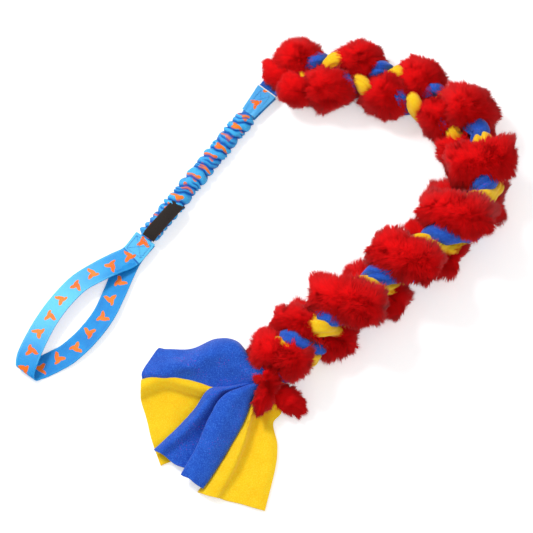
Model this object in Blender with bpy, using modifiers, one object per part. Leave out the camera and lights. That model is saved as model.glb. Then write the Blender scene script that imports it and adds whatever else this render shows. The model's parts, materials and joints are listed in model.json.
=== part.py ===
"""Braided tug toy with a hand loop, a gathered bungee sleeve and a fleece tassel.

The toy lies on a flat surface. +Z is up and the origin is on that surface, under the middle of the toy.
The braid is the part that stays still. The bungee swings on the braid's link, stretches, and carries
the handle. The four fleece ends swing on hinges where the braid is tied off.
"""

import math

import bmesh
import bpy
from mathutils import Matrix, Vector

# Clearances and mesh fineness
TOUCH_GAP = 0.0003
WELD = 0.00001
CUT_OVERRUN = 0.02
ROUTE_STEPS = 8
STRAND_STEPS_PER_TURN = 14

# Braid: three strands cross one another along a route on the ground
LAY_SPAN = 0.540
STRAND_SWING = 0.014
STRAND_LIFT = 0.0120
STRAND_TIGHT_RADIUS = 0.0042
FLEECE_LOBE_RADIUS = 0.0074
FUR_LOBE_RADIUS = 0.0075
LOBE_SHARPNESS = 3
BEND_SHARE = 0.85
BRAID_GATHER_LENGTH = 0.032
BRAID_GATHER_SHARE = 0.6
STRAND_SKIP = 0.001

# Points of the braid's centre line as shares of the lay span: right, away, up
BRAID_ROUTE_SHARES = (
    (0.050, 0.418, 0.022),
    (0.076, 0.412, 0.032),
    (0.106, 0.408, 0.040),
    (0.143, 0.406, 0.044),
    (0.206, 0.393, 0.044),
    (0.261, 0.374, 0.044),
    (0.320, 0.344, 0.046),
    (0.370, 0.307, 0.050),
    (0.407, 0.267, 0.056),
    (0.430, 0.217, 0.060),
    (0.433, 0.167, 0.060),
    (0.415, 0.111, 0.060),
    (0.376, 0.067, 0.060),
    (0.320, 0.031, 0.060),
    (0.261, -0.011, 0.060),
    (0.202, -0.057, 0.060),
    (0.131, -0.117, 0.058),
    (0.063, -0.174, 0.054),
    (0.022, -0.203, 0.044),
    (-0.013, -0.233, 0.031),
)
# Where the blue strand comes round to the outer edge, as shares of the braid's length
BLUE_LOBE_SHARES = (0.054, 0.1645, 0.2635, 0.360, 0.4625, 0.5955, 0.7255, 0.848, 0.978)
# The other two strands follow the blue one round by these shares of a turn
YELLOW_FOLLOWS_SHARE = 1 / 3
FUR_FOLLOWS_SHARE = 2 / 3
# The braid lies flat up to the first share. From the second one on it stands on its edge and leans
# a little to the inside of the curve
ROLL_SHARES = (0.26, 0.44)
ROLL_ANGLE = math.radians(105.0)

# Fur: the pile fluffs out into a lump just before the strand comes round to an edge
FUR_LUMP_LEAD_SHARE = 0.08
FUR_LUMP_ALONG = 0.024
FUR_LUMP_OUTWARD = 0.021
FUR_LUMP_ACROSS_FLAT = 0.028
FUR_LUMP_ACROSS_ON_EDGE = 0.034
FUR_LUMP_OFFSET = 0.006
FUR_TAIL_RADIUS = 0.0085
FUR_TAIL_TIP_SHARE = 0.35
FLEECE_CLEARANCE = 0.0012

# Link: the bight of the strips through the webbing eye
LINK_RADIUS = 0.0032
LINK_REACH = 0.0135
LINK_CORNER = 0.004
LINK_SIDE_GAP = 0.0012
FUR_SETBACK = 0.008

# Bungee: everything along one straight line from the link to the handle
BUNGEE_HEADING = math.radians(-127.5)
BUNGEE_HEIGHT = 0.0072
BUNGEE_LENGTH = 0.254
BAR_PLACE_SHARES = (0.015, 0.4026)
ELASTIC_WIDTH = 0.010
ELASTIC_THICK = 0.002
ELASTIC_ANCHOR = 0.021
CONNECTOR_WIDTH = 0.022
CONNECTOR_THICK = 0.0012
CONNECTOR_LENGTH = 0.046
EYE_CLEARANCE = 0.0008
HEM_START = 0.0155
HEM_WIDE = 0.0244
HEM_NARROW = 0.0166
HEM_THICK = 0.0009
SLEEVE_START = 0.049
SLEEVE_CREST_RADIUS = 0.0102
SLEEVE_VALLEY_RADIUS = 0.0084
SLEEVE_END_RADIUS = 0.0066
SLEEVE_FLATNESS = 0.69
SLEEVE_GATHERS = 14

# Handle strap: 25 mm webbing whose two ends are sewn to the sleeve
STRAP_WIDTH = 0.025
STRAP_THICK = 0.0013
PATCH_LENGTH = 0.025
LOOP_LENGTH = 0.170
STRAP_STATION_STEPS = 3
# Centre line of the strap beyond the patch: along and aside as shares of the loop, height over the
# ground as a share of the strap's width, lean of the band in degrees
STRAP_LOOP_SHARES = (
    (0.10, -0.045, 0.385, 4),
    (0.20, -0.092, 0.40, 10),
    (0.35, -0.147, 0.40, 16),
    (0.52, -0.162, 0.39, 18),
    (0.67, -0.153, 0.385, 16),
    (0.80, -0.129, 0.40, 10),
    (0.90, -0.103, 0.43, 4),
    (0.965, -0.080, 0.41, 0),
    (1.003, -0.060, 0.31, 0),
    (1.010, -0.046, 0.215, 0),
    (1.000, -0.034, 0.12, 0),
    (0.960, -0.018, 0.045, 0),
    (0.900, 0.010, 0.036, 0),
    (0.82, 0.048, 0.05, 2),
    (0.74, 0.079, 0.08, 6),
    (0.59, 0.103, 0.13, 10),
    (0.42, 0.100, 0.15, 12),
    (0.265, 0.065, 0.14, 8),
    (0.118, 0.024, 0.165, 3),
)
CURL_START_SHARE = 0.88

# Stitching and label
THREAD_THICK = 0.0008
STITCH_INSET = 0.0035
CONNECTOR_STITCH_LENGTH = 0.020
CONNECTOR_STITCH_WIDTH = 0.012
LABEL_WIDTH = 0.015
LABEL_LENGTH = 0.052
LABEL_THICK = 0.0008
LABEL_ASIDE = 0.0025
LABEL_ROWS = 12

# Tassel: the six ends of the three strips beyond the whipping
WHIPPING_RADIUS = 0.0147
WHIPPING_THICK = 0.0008
WHIPPING_SETBACK = 0.003
TAIL_SPAN = 0.100
TAIL_ROOT_SPAN = 0.100
FLEECE_THICK = 0.0022
TAIL_ROWS = 10
TAIL_COLUMNS = 3
# Each tail: its hinge point, then lines from root to cut end, side by side across the strip.
# Points are measured from the tie: right, away, up over the ground. Hinges, roots and heights are
# shares of the root span, and reaches from root to cut end are shares of the tail span
TAIL_HINGE_SHARES = {
    "blue_tail_upper": (-0.068, 0.005, 0.272),
    "blue_tail_lower": (0.0, -0.055, 0.2),
    "yellow_tail_left": (-0.055, -0.01, 0.02),
    "yellow_tail_right": (0.02, -0.08, 0.02),
}
TAIL_LINE_SHARES = {
    "blue_tail_upper": (
        (
            (-0.035, -0.03, 0.2), (-0.32, 0.01, 0.15), (-0.6, 0.0, 0.14),
            (-0.9, 0.05, 0.12), (-1.25, 0.05, 0.1),
        ),
        (
            (-0.045, -0.01, 0.23), (-0.32, 0.1, 0.22), (-0.6, 0.1, 0.2),
            (-0.9, 0.12, 0.15), (-1.22, 0.12, 0.1),
        ),
        (
            (-0.058, 0.008, 0.25), (-0.32, 0.24, 0.29), (-0.6, 0.22, 0.24),
            (-0.88, 0.22, 0.16), (-1.18, 0.2, 0.1),
        ),
        (
            (-0.07, 0.025, 0.24), (-0.36, 0.36, 0.25), (-0.6, 0.34, 0.19),
            (-0.86, 0.32, 0.12), (-1.13, 0.3, 0.08),
        ),
        (
            (-0.078, 0.037, 0.21), (-0.37, 0.4, 0.15), (-0.6, 0.38, 0.1),
            (-0.85, 0.35, 0.07), (-1.09, 0.38, 0.05),
        ),
        (
            (-0.075, 0.035, 0.17), (-0.32, 0.33, 0.06), (-0.58, 0.3, 0.05),
            (-0.84, 0.29, 0.03), (-1.06, 0.31, 0.02),
        ),
    ),
    "blue_tail_lower": (
        (
            (-0.03, -0.05, 0.185), (-0.37, -0.12, 0.14), (-0.51, -0.35, 0.14),
            (-0.6, -0.6, 0.13), (-0.84, -1.02, 0.12),
        ),
        (
            (0.0, -0.055, 0.2), (-0.28, -0.14, 0.16), (-0.4, -0.38, 0.16),
            (-0.52, -0.66, 0.15), (-0.75, -1.09, 0.13),
        ),
        (
            (0.03, -0.065, 0.185), (-0.17, -0.2, 0.13), (-0.28, -0.47, 0.13),
            (-0.41, -0.74, 0.125), (-0.66, -1.16, 0.11),
        ),
        (
            (0.02, -0.065, 0.15), (-0.24, -0.16, 0.095), (-0.36, -0.4, 0.095),
            (-0.5, -0.7, 0.09), (-0.74, -1.08, 0.08),
        ),
        (
            (-0.01, -0.055, 0.145), (-0.38, -0.12, 0.09), (-0.56, -0.34, 0.09),
            (-0.7, -0.62, 0.085), (-0.94, -0.91, 0.075),
        ),
        (
            (-0.04, -0.045, 0.145), (-0.5, -0.1, 0.09), (-0.68, -0.28, 0.09),
            (-0.87, -0.52, 0.085), (-1.13, -0.76, 0.075),
        ),
    ),
    "yellow_tail_left": (
        (
            (-0.07, 0.02, 0.04), (-0.45, -0.08, 0.012), (-0.75, -0.04, 0.012),
            (-1.02, 0.01, 0.012), (-1.26, -0.02, 0.012),
        ),
        (
            (-0.06, 0.0, 0.08), (-0.46, -0.09, 0.06), (-0.76, -0.02, 0.085),
            (-1.04, 0.04, 0.09), (-1.28, 0.0, 0.085),
        ),
        (
            (-0.05, -0.02, 0.075), (-0.48, -0.18, 0.055), (-0.78, -0.13, 0.065),
            (-1.05, -0.09, 0.06), (-1.29, -0.1, 0.05),
        ),
        (
            (-0.05, -0.03, 0.05), (-0.48, -0.34, 0.03), (-0.78, -0.38, 0.03),
            (-1.02, -0.38, 0.022), (-1.26, -0.4, 0.016),
        ),
        (
            (-0.045, -0.04, 0.035), (-0.44, -0.5, 0.018), (-0.72, -0.65, 0.016),
            (-0.95, -0.72, 0.014), (-1.17, -0.7, 0.012),
        ),
        (
            (-0.04, -0.045, 0.02), (-0.38, -0.58, 0.012), (-0.64, -0.8, 0.012),
            (-0.86, -0.89, 0.012), (-1.06, -0.94, 0.012),
        ),
    ),
    "yellow_tail_right": (
        (
            (-0.03, -0.06, 0.03), (-0.09, -0.23, 0.03), (-0.22, -0.42, 0.02),
            (-0.36, -0.66, 0.015), (-0.5, -0.94, 0.012), (-0.67, -1.22, 0.012),
        ),
        (
            (-0.02, -0.06, 0.07), (-0.05, -0.23, 0.055), (-0.15, -0.42, 0.06),
            (-0.26, -0.68, 0.06), (-0.4, -0.97, 0.05), (-0.58, -1.25, 0.035),
        ),
        (
            (0.0, -0.07, 0.09), (-0.01, -0.24, 0.045), (-0.1, -0.44, 0.02),
            (-0.19, -0.68, 0.014), (-0.33, -0.98, 0.012), (-0.48, -1.29, 0.012),
        ),
        (
            (0.02, -0.08, 0.1), (0.03, -0.24, 0.065), (0.0, -0.44, 0.08),
            (-0.06, -0.7, 0.055), (-0.16, -1.0, 0.04), (-0.28, -1.33, 0.02),
        ),
        (
            (0.05, -0.1, 0.08), (0.08, -0.25, 0.065), (0.08, -0.45, 0.08),
            (0.07, -0.72, 0.07), (0.02, -1.04, 0.045), (-0.1, -1.38, 0.02),
        ),
        (
            (0.07, -0.12, 0.04), (0.13, -0.26, 0.03), (0.11, -0.47, 0.02),
            (0.16, -0.74, 0.014), (0.14, -1.06, 0.012), (0.04, -1.42, 0.012),
        ),
    ),
}
# Fur tails: lines as shares of the tail span, measured from the tie
FUR_TAIL_LINE_SHARES = {
    "fur_tail_left": (
        (0.071, -0.096, 0.240), (0.044, -0.151, 0.245), (0.004, -0.211, 0.23), (-0.036, -0.271, 0.21),
    ),
    "fur_tail_right": (
        (0.06, -0.115, 0.14), (0.13, -0.175, 0.125), (0.23, -0.205, 0.115), (0.35, -0.245, 0.1),
    ),
}

# Colours
SATIN_BLUE = (0.012, 0.262, 0.838)
CONNECTOR_BLUE = (0.010, 0.130, 0.520)
FLEECE_BLUE = (0.026, 0.102, 0.604)
FLEECE_YELLOW = (1.0, 0.604, 0.013)
FUR_RED = (0.578, 0.001, 0.003)
LABEL_BROWN = (0.038, 0.026, 0.021)
THREAD_BLUE = (0.020, 0.220, 0.700)
ELASTIC_WHITE = (0.800, 0.780, 0.740)


def clear_scene():
    for obj in list(bpy.data.objects):
        bpy.data.objects.remove(obj, do_unlink=True)


def new_collection(name):
    collection = bpy.data.collections.new(name)
    bpy.context.scene.collection.children.link(collection)
    return collection


def new_material(name, colour, roughness):
    material = bpy.data.materials.new(name)
    material.use_nodes = True
    shader = material.node_tree.nodes["Principled BSDF"]
    shader.inputs["Base Color"].default_value = (*colour, 1.0)
    shader.inputs["Roughness"].default_value = roughness
    shader.inputs["Metallic"].default_value = 0.0
    return material


def new_empty(name, place, turn, parent, collection):
    """An empty that stands on a joint's axis or at the part's own origin."""
    empty = bpy.data.objects.new(name, None)
    empty.location = place
    empty.rotation_euler = (0.0, 0.0, turn)
    empty.parent = parent
    collection.objects.link(empty)
    return empty


def add_object(name, data, parent, collection, material):
    obj = bpy.data.objects.new(name, data)
    obj.parent = parent
    collection.objects.link(obj)
    if material is not None:
        data.materials.append(material)
    return obj


def add_cutter(name, data, parent, collection):
    obj = add_object(name, data, parent, collection, None)
    obj.hide_render = True
    obj.display_type = "WIRE"
    return obj


def smooth_line(points, steps):
    """A smooth curve through the points, with the given number of steps between neighbours."""
    guides = [2 * points[0] - points[1], *points, 2 * points[-1] - points[-2]]
    line = []
    for before, start, end, after in zip(guides, guides[1:], guides[2:], guides[3:]):
        for step in range(steps):
            t = step / steps
            straight = end - before
            bend = 2 * before - 5 * start + 4 * end - after
            twist = -before + 3 * start - 3 * end + after
            line.append((2 * start + straight * t + bend * t**2 + twist * t**3) / 2)
    line.append(points[-1].copy())
    return line


def bend_radius(before, here, after):
    """Radius of the circle through three points."""
    first, second, chord = here - before, after - here, after - before
    area = first.cross(second).length / 2
    return first.length * second.length * chord.length / (4 * area) if area > 0 else math.inf


def smoothstep(value):
    value = min(max(value, 0.0), 1.0)
    return value * value * (3 - 2 * value)


def tube_curve(name, points, radii, thickest, resolution=2, closed=False):
    """A round tube through the points, whose radius changes from point to point."""
    curve = bpy.data.curves.new(name, "CURVE")
    curve.dimensions = "3D"
    curve.bevel_depth = thickest
    curve.bevel_resolution = resolution
    curve.use_fill_caps = True
    spline = curve.splines.new("POLY")
    spline.points.add(len(points) - 1)
    for spot, place, radius in zip(spline.points, points, radii):
        spot.co = (*place, 1.0)
        spot.radius = radius / thickest
    spline.use_cyclic_u = closed
    spline.use_smooth = True
    return curve


def tube_mesh(name, points, radii, thickest, resolution=2, closed=False):
    """The same tube as a mesh whose end caps are welded to its wall."""
    curve = tube_curve(name, points, radii, thickest, resolution, closed)
    holder = bpy.data.objects.new(name, curve)
    bpy.context.scene.collection.objects.link(holder)
    graph = bpy.context.evaluated_depsgraph_get()
    mesh = bpy.data.meshes.new_from_object(holder.evaluated_get(graph))
    bpy.data.objects.remove(holder, do_unlink=True)
    bpy.data.curves.remove(curve)
    mesh.name = name
    weld = bmesh.new()
    weld.from_mesh(mesh)
    bmesh.ops.remove_doubles(weld, verts=weld.verts, dist=WELD)
    bmesh.ops.recalc_face_normals(weld, faces=weld.faces)
    weld.to_mesh(mesh)
    weld.free()
    mesh.shade_smooth()
    return mesh


def sheet_mesh(name, lines):
    """An open sheet through side-by-side lines that have the same number of points."""
    rows, columns = len(lines), len(lines[0])
    grid = bmesh.new()
    bmesh.ops.create_grid(grid, x_segments=rows - 1, y_segments=columns - 1, size=1)
    for corner in grid.verts:
        row = round((corner.co.x + 1) / 2 * (rows - 1))
        column = round((corner.co.y + 1) / 2 * (columns - 1))
        corner.co = lines[row][column]
    mesh = bpy.data.meshes.new(name)
    grid.to_mesh(mesh)
    grid.free()
    mesh.shade_smooth()
    return mesh


def box_mesh(name, low, high):
    """A box between two opposite corners."""
    low, high = Vector(low), Vector(high)
    stretch = Matrix.Diagonal((*(high - low), 1.0))
    box = bmesh.new()
    bmesh.ops.create_cube(box, size=1, matrix=Matrix.Translation((low + high) / 2) @ stretch)
    mesh = bpy.data.meshes.new(name)
    box.to_mesh(mesh)
    box.free()
    return mesh


def thicken(obj, thickness):
    solid = obj.modifiers.new("Thickness", "SOLIDIFY")
    solid.thickness = thickness
    solid.offset = 0.0
    return solid


def cut_or_join(obj, operation, operands):
    """One Boolean for each operand."""
    for operand in operands:
        boolean = obj.modifiers.new(f"{operation.title()} {operand.name}", "BOOLEAN")
        boolean.operation = operation
        boolean.solver = "EXACT"
        boolean.object = operand


def in_lay(shares):
    return Vector([share * LAY_SPAN for share in shares])


class BraidRoute:
    """The braid's centre line, with the direction of its flat side at every place."""

    def __init__(self):
        self.line = smooth_line([in_lay(shares) for shares in BRAID_ROUTE_SHARES], ROUTE_STEPS)
        self.reach = [0.0]
        for start, end in zip(self.line, self.line[1:]):
            self.reach.append(self.reach[-1] + (end - start).length)
        self.length = self.reach[-1]

    def place(self, along):
        """The point that lies this far along the centre line."""
        along = min(max(along, 0.0), self.length)
        step = 0
        while step < len(self.line) - 2 and self.reach[step + 1] < along:
            step += 1
        share = (along - self.reach[step]) / (self.reach[step + 1] - self.reach[step])
        return self.line[step].lerp(self.line[step + 1], share)

    def frame(self, along):
        """Direction of travel, of the braid's width and of its thickness."""
        probe = self.length / len(self.line)
        ahead = (self.place(along + probe) - self.place(along - probe)).normalized()
        left = Vector((0.0, 0.0, 1.0)).cross(ahead).normalized()
        up = ahead.cross(left)
        roll = ROLL_ANGLE * self.on_edge(along)
        width = left * math.cos(roll) + up * math.sin(roll)
        return ahead, width, ahead.cross(width)

    def on_edge(self, along):
        """How far the braid has rolled over, from 0 where it lies flat to 1 where it stands."""
        first, last = ROLL_SHARES
        return smoothstep((along / self.length - first) / (last - first))

    def blue_turn(self, along):
        """How far round the blue strand is: a whole turn between two lobes at the outer edge."""
        share = along / self.length
        lobes = BLUE_LOBE_SHARES
        turn = 0
        while turn < len(lobes) - 2 and lobes[turn + 1] < share:
            turn += 1
        return turn + (share - lobes[turn]) / (lobes[turn + 1] - lobes[turn])

    def gather(self, along):
        """The strands draw together towards both ends of the braid."""
        near_end = min(along, self.length - along) / BRAID_GATHER_LENGTH
        return BRAID_GATHER_SHARE + (1 - BRAID_GATHER_SHARE) * smoothstep(near_end)

    def strand(self, behind, lobe_radius):
        """Points and radii of the strand that follows the blue one by this share of a turn."""
        turns = self.blue_turn(self.length) - self.blue_turn(0.0)
        count = round(turns * STRAND_STEPS_PER_TURN)
        points, radii = [], []
        for step in range(count + 1):
            along = STRAND_SKIP + (self.length - 2 * STRAND_SKIP) * step / count
            angle = 2 * math.pi * (self.blue_turn(along) - behind) + math.pi / 2
            gather = self.gather(along)
            _, width, thickness = self.frame(along)
            aside = STRAND_SWING * gather * math.sin(angle)
            lift = STRAND_LIFT * gather * math.sin(2 * angle)
            points.append(self.place(along) + width * aside + thickness * lift)
            fullness = (gather - BRAID_GATHER_SHARE) / (1 - BRAID_GATHER_SHARE)
            swell = abs(math.sin(angle)) ** LOBE_SHARPNESS * fullness**2
            radii.append(STRAND_TIGHT_RADIUS + (lobe_radius - STRAND_TIGHT_RADIUS) * swell)
        for number in range(1, count):
            widest = bend_radius(*points[number - 1 : number + 2]) * BEND_SHARE
            radii[number] = min(radii[number], widest)
        return points, radii

    def along_at(self, turn):
        """The place along the braid where the blue strand has come round this far."""
        lobes = BLUE_LOBE_SHARES
        number = min(max(math.floor(turn), 0), len(lobes) - 2)
        share = lobes[number] + (turn - number) * (lobes[number + 1] - lobes[number])
        return share * self.length

    def fur_lobes(self):
        """Places along the braid where the fur fluffs out, with the side that it is on."""
        behind = FUR_FOLLOWS_SHARE - FUR_LUMP_LEAD_SHARE
        first = math.ceil(2 * (self.blue_turn(0.0) - behind))
        last = math.floor(2 * (self.blue_turn(self.length - FUR_LUMP_ALONG) - behind))
        lobes = []
        for half_turn in range(first, last + 1):
            side = 1 if half_turn % 2 == 0 else -1
            lobes.append((self.along_at(behind + half_turn / 2), side))
        return lobes


def add_braid(route, root, parts, cutters, blue, yellow, red):
    """Two fleece strands and the fur strand, which the fleece strands press into."""
    blue_points, blue_radii = route.strand(0.0, FLEECE_LOBE_RADIUS)
    yellow_points, yellow_radii = route.strand(YELLOW_FOLLOWS_SHARE, FLEECE_LOBE_RADIUS)
    fur_points, fur_radii = route.strand(FUR_FOLLOWS_SHARE, FUR_LOBE_RADIUS)

    blue_strand = add_object(
        "blue_fleece_strand",
        tube_mesh("blue_fleece_strand", blue_points, blue_radii, FLEECE_LOBE_RADIUS),
        root,
        parts,
        blue,
    )
    link = add_cutter("link_loop", link_mesh(), root, cutters)
    cut_or_join(blue_strand, "UNION", [link])

    yellow_strand = tube_mesh("yellow_fleece_strand", yellow_points, yellow_radii, FLEECE_LOBE_RADIUS)
    add_object("yellow_fleece_strand", yellow_strand, root, parts, yellow)

    fur_strand = add_object(
        "red_fur_strand",
        tube_mesh("red_fur_strand", fur_points, fur_radii, FUR_LOBE_RADIUS),
        root,
        parts,
        red,
    )
    for number, (along, side) in enumerate(route.fur_lobes(), start=1):
        lump = add_cutter(f"fur_lump_{number}", fur_lump_mesh(route, along, side), root, cutters)
        cut_or_join(fur_strand, "UNION", [lump])

    rooms = []
    for name, points, radii in (
        ("blue_room", blue_points, blue_radii),
        ("yellow_room", yellow_points, yellow_radii),
    ):
        first, last = (points[0] - points[1]).normalized(), (points[-1] - points[-2]).normalized()
        points[0] += first * FLEECE_CLEARANCE
        points[-1] += last * FLEECE_CLEARANCE
        roomy = [radius + FLEECE_CLEARANCE for radius in radii]
        rooms.append(add_cutter(name, tube_mesh(name, points, roomy, FLEECE_LOBE_RADIUS), root, cutters))
    rooms.append(add_cutter("link_room", link_mesh(FLEECE_CLEARANCE), root, cutters))
    rooms.append(add_cutter("ground", ground_mesh(), root, cutters))
    bar = bar_place()
    swing_room = box_mesh(
        "swing_room",
        (-FUR_SETBACK, -CONNECTOR_WIDTH * 2, -BUNGEE_HEIGHT * 8),
        (BUNGEE_LENGTH, CONNECTOR_WIDTH * 2, BUNGEE_HEIGHT * 8),
    )
    room = add_cutter("swing_room", swing_room, root, cutters)
    room.location = bar
    room.rotation_euler = (0.0, 0.0, BUNGEE_HEADING)
    cut_or_join(fur_strand, "DIFFERENCE", [*rooms, room])


def bar_place():
    """Middle of the link's bar, round which the webbing eye swings."""
    right, away = BAR_PLACE_SHARES
    return Vector((right * LAY_SPAN, away * LAY_SPAN, BUNGEE_HEIGHT))


def link_mesh(growth=0.0):
    """A closed loop of folded strip that runs through the webbing eye and back to the strand."""
    half_width = CONNECTOR_WIDTH / 2 + LINK_SIDE_GAP + LINK_RADIUS
    corner = LINK_CORNER
    centres = (
        (-corner, half_width - corner, 0),
        (corner - LINK_REACH, half_width - corner, 1),
        (corner - LINK_REACH, corner - half_width, 2),
        (-corner, corner - half_width, 3),
    )
    to_world = Matrix.Translation(bar_place()) @ Matrix.Rotation(BUNGEE_HEADING, 4, "Z")
    points = []
    corner_steps = 3
    for along, aside, quarter in centres:
        for step in range(corner_steps + 1):
            angle = math.pi / 2 * (quarter + step / corner_steps)
            spot = Vector((along + corner * math.cos(angle), aside + corner * math.sin(angle), 0.0))
            points.append(to_world @ spot)
    radius = LINK_RADIUS + growth
    return tube_mesh("link_loop", points, [radius] * len(points), LINK_RADIUS, closed=True)


def fur_lump_mesh(route, along, side):
    """A squashed ball of pile at one edge of the braid."""
    ahead, width, thickness = route.frame(along)
    gather = route.gather(along)
    aside = (STRAND_SWING + FUR_LUMP_OFFSET) * gather * side
    centre = route.place(along) + width * aside
    turn = Matrix((ahead, width, thickness)).transposed().to_4x4()
    spread = (FUR_LUMP_ACROSS_ON_EDGE - FUR_LUMP_ACROSS_FLAT) * route.on_edge(along)
    size = Matrix.Diagonal((FUR_LUMP_ALONG, FUR_LUMP_OUTWARD, FUR_LUMP_ACROSS_FLAT + spread, 1.0))
    ball = bmesh.new()
    bmesh.ops.create_uvsphere(
        ball, u_segments=12, v_segments=8, radius=1, matrix=Matrix.Translation(centre) @ turn @ size
    )
    mesh = bpy.data.meshes.new("fur_lump")
    ball.to_mesh(mesh)
    ball.free()
    return mesh


def ground_mesh():
    return box_mesh(
        "ground",
        (-LAY_SPAN, -LAY_SPAN, -LAY_SPAN),
        (LAY_SPAN, LAY_SPAN, 0.0),
    )


def add_whipping(route, root, parts, thread):
    """A band of thread round the three strands where the braid ends."""
    along = route.length - WHIPPING_SETBACK
    centre = route.place(along)
    _, across, up = route.frame(along)
    turns = 16
    points = []
    for step in range(turns):
        angle = 2 * math.pi * step / turns
        points.append(centre + (across * math.cos(angle) + up * math.sin(angle)) * WHIPPING_RADIUS)
    mesh = tube_mesh("end_whipping", points, [WHIPPING_THICK] * turns, WHIPPING_THICK, closed=True)
    add_object("end_whipping", mesh, root, parts, thread)


def under_the_tie():
    """The point of the ground under the end of the braid, from which the tails are measured."""
    right, away, _ = BRAID_ROUTE_SHARES[-1]
    return Vector((right * LAY_SPAN, away * LAY_SPAN, 0.0))


def tail_places(shares):
    """Points along a tail from the tie, of which the first is the tail's root."""
    root_right, root_away, _ = shares[0]
    places = []
    for right, away, up in shares:
        reach = Vector((right - root_right, away - root_away, 0.0)) * TAIL_SPAN
        places.append(Vector((root_right, root_away, up)) * TAIL_ROOT_SPAN + reach)
    return places


def add_fur_tails(root, parts, red):
    """Two short tufts: the ends of the fur strip."""
    ground = under_the_tie()
    for name, shares in FUR_TAIL_LINE_SHARES.items():
        points = smooth_line([ground + spot for spot in tail_places(shares)], 2)
        last = len(points) - 1
        radii = []
        for number in range(last + 1):
            fullness = math.sin(math.pi * number / last)
            radii.append(FUR_TAIL_RADIUS * (FUR_TAIL_TIP_SHARE + (1 - FUR_TAIL_TIP_SHARE) * fullness))
        add_object(name, tube_mesh(name, points, radii, FUR_TAIL_RADIUS), root, parts, red)


def add_tails(root, parts, blue, yellow):
    """Four flat fleece ends, each on a hinge at its own root."""
    ground = under_the_tie()
    for name, lines in TAIL_LINE_SHARES.items():
        hinge = ground + Vector(TAIL_HINGE_SHARES[name]) * TAIL_ROOT_SPAN
        empty = new_empty(f"{name}_hinge", hinge, 0.0, root, parts)
        guides = [[ground + spot - hinge for spot in tail_places(line)] for line in lines]
        steps = TAIL_ROWS // (len(guides[0]) - 1)
        long_lines = [smooth_line(line, steps) for line in guides]
        across = [smooth_line(list(row), TAIL_COLUMNS) for row in zip(*long_lines)]
        material = blue if name.startswith("blue") else yellow
        obj = add_object(name, sheet_mesh(name, across), empty, parts, material)
        thicken(obj, FLEECE_THICK)


def add_connector(hinge, parts, webbing, satin, thread):
    """The folded webbing whose eye holds the link, and the hem of the sleeve sewn over it."""
    layer = ELASTIC_THICK / 2 + TOUCH_GAP + CONNECTOR_THICK / 2
    eye = LINK_RADIUS + EYE_CLEARANCE + CONNECTOR_THICK / 2
    flare = math.pi / 4
    neck = eye * math.cos(flare) + (eye * math.sin(flare) - layer) / math.tan(flare)
    profile = [(CONNECTOR_LENGTH, layer), (neck, layer)]
    arc_steps = 10
    for step in range(arc_steps + 1):
        angle = flare + (2 * math.pi - 2 * flare) * step / arc_steps
        profile.append((eye * math.cos(angle), eye * math.sin(angle)))
    profile += [(neck, -layer), (CONNECTOR_LENGTH, -layer)]
    half = CONNECTOR_WIDTH / 2
    lines = [[Vector((along, side * half, up)) for side in (-1, 0, 1)] for along, up in profile]
    obj = add_object("connector_webbing", sheet_mesh("connector_webbing", lines), hinge, parts, webbing)
    thicken(obj, CONNECTOR_THICK)

    hem_height = layer + CONNECTOR_THICK / 2 + TOUCH_GAP + HEM_THICK / 2
    hem_end = SLEEVE_START - TOUCH_GAP
    for name, side in (("sleeve_hem_top", 1), ("sleeve_hem_bottom", -1)):
        lines = []
        for along, width in ((HEM_START, HEM_WIDE), (hem_end, HEM_NARROW)):
            lines.append([Vector((along, across * width / 2, side * hem_height)) for across in (-1, 0, 1)])
        hem = add_object(name, sheet_mesh(name, lines), hinge, parts, satin)
        thicken(hem, HEM_THICK)

    top = hem_height + HEM_THICK / 2 + TOUCH_GAP + THREAD_THICK / 2
    start = HEM_START + STITCH_INSET
    add_box_stitch(
        "connector_stitching",
        (start, start + CONNECTOR_STITCH_LENGTH),
        CONNECTOR_STITCH_WIDTH,
        top,
        hinge,
        parts,
        thread,
    )


def add_box_stitch(name, reach, width, height, parent, parts, thread):
    """A crossed box of thread: a rectangle with both of its diagonals."""
    start, end = reach
    lines = [[Vector((along, side * width / 2, height)) for side in (-1, 1)] for along in (start, end)]
    mesh = sheet_mesh(name, lines)
    cross = bmesh.new()
    cross.from_mesh(mesh)
    bmesh.ops.poke(cross, faces=cross.faces)
    cross.to_mesh(mesh)
    cross.free()
    obj = add_object(name, mesh, parent, parts, thread)
    wire = obj.modifiers.new("Thread", "WIREFRAME")
    wire.thickness = THREAD_THICK
    wire.use_boundary = True
    wire.use_even_offset = False
    return obj


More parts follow.
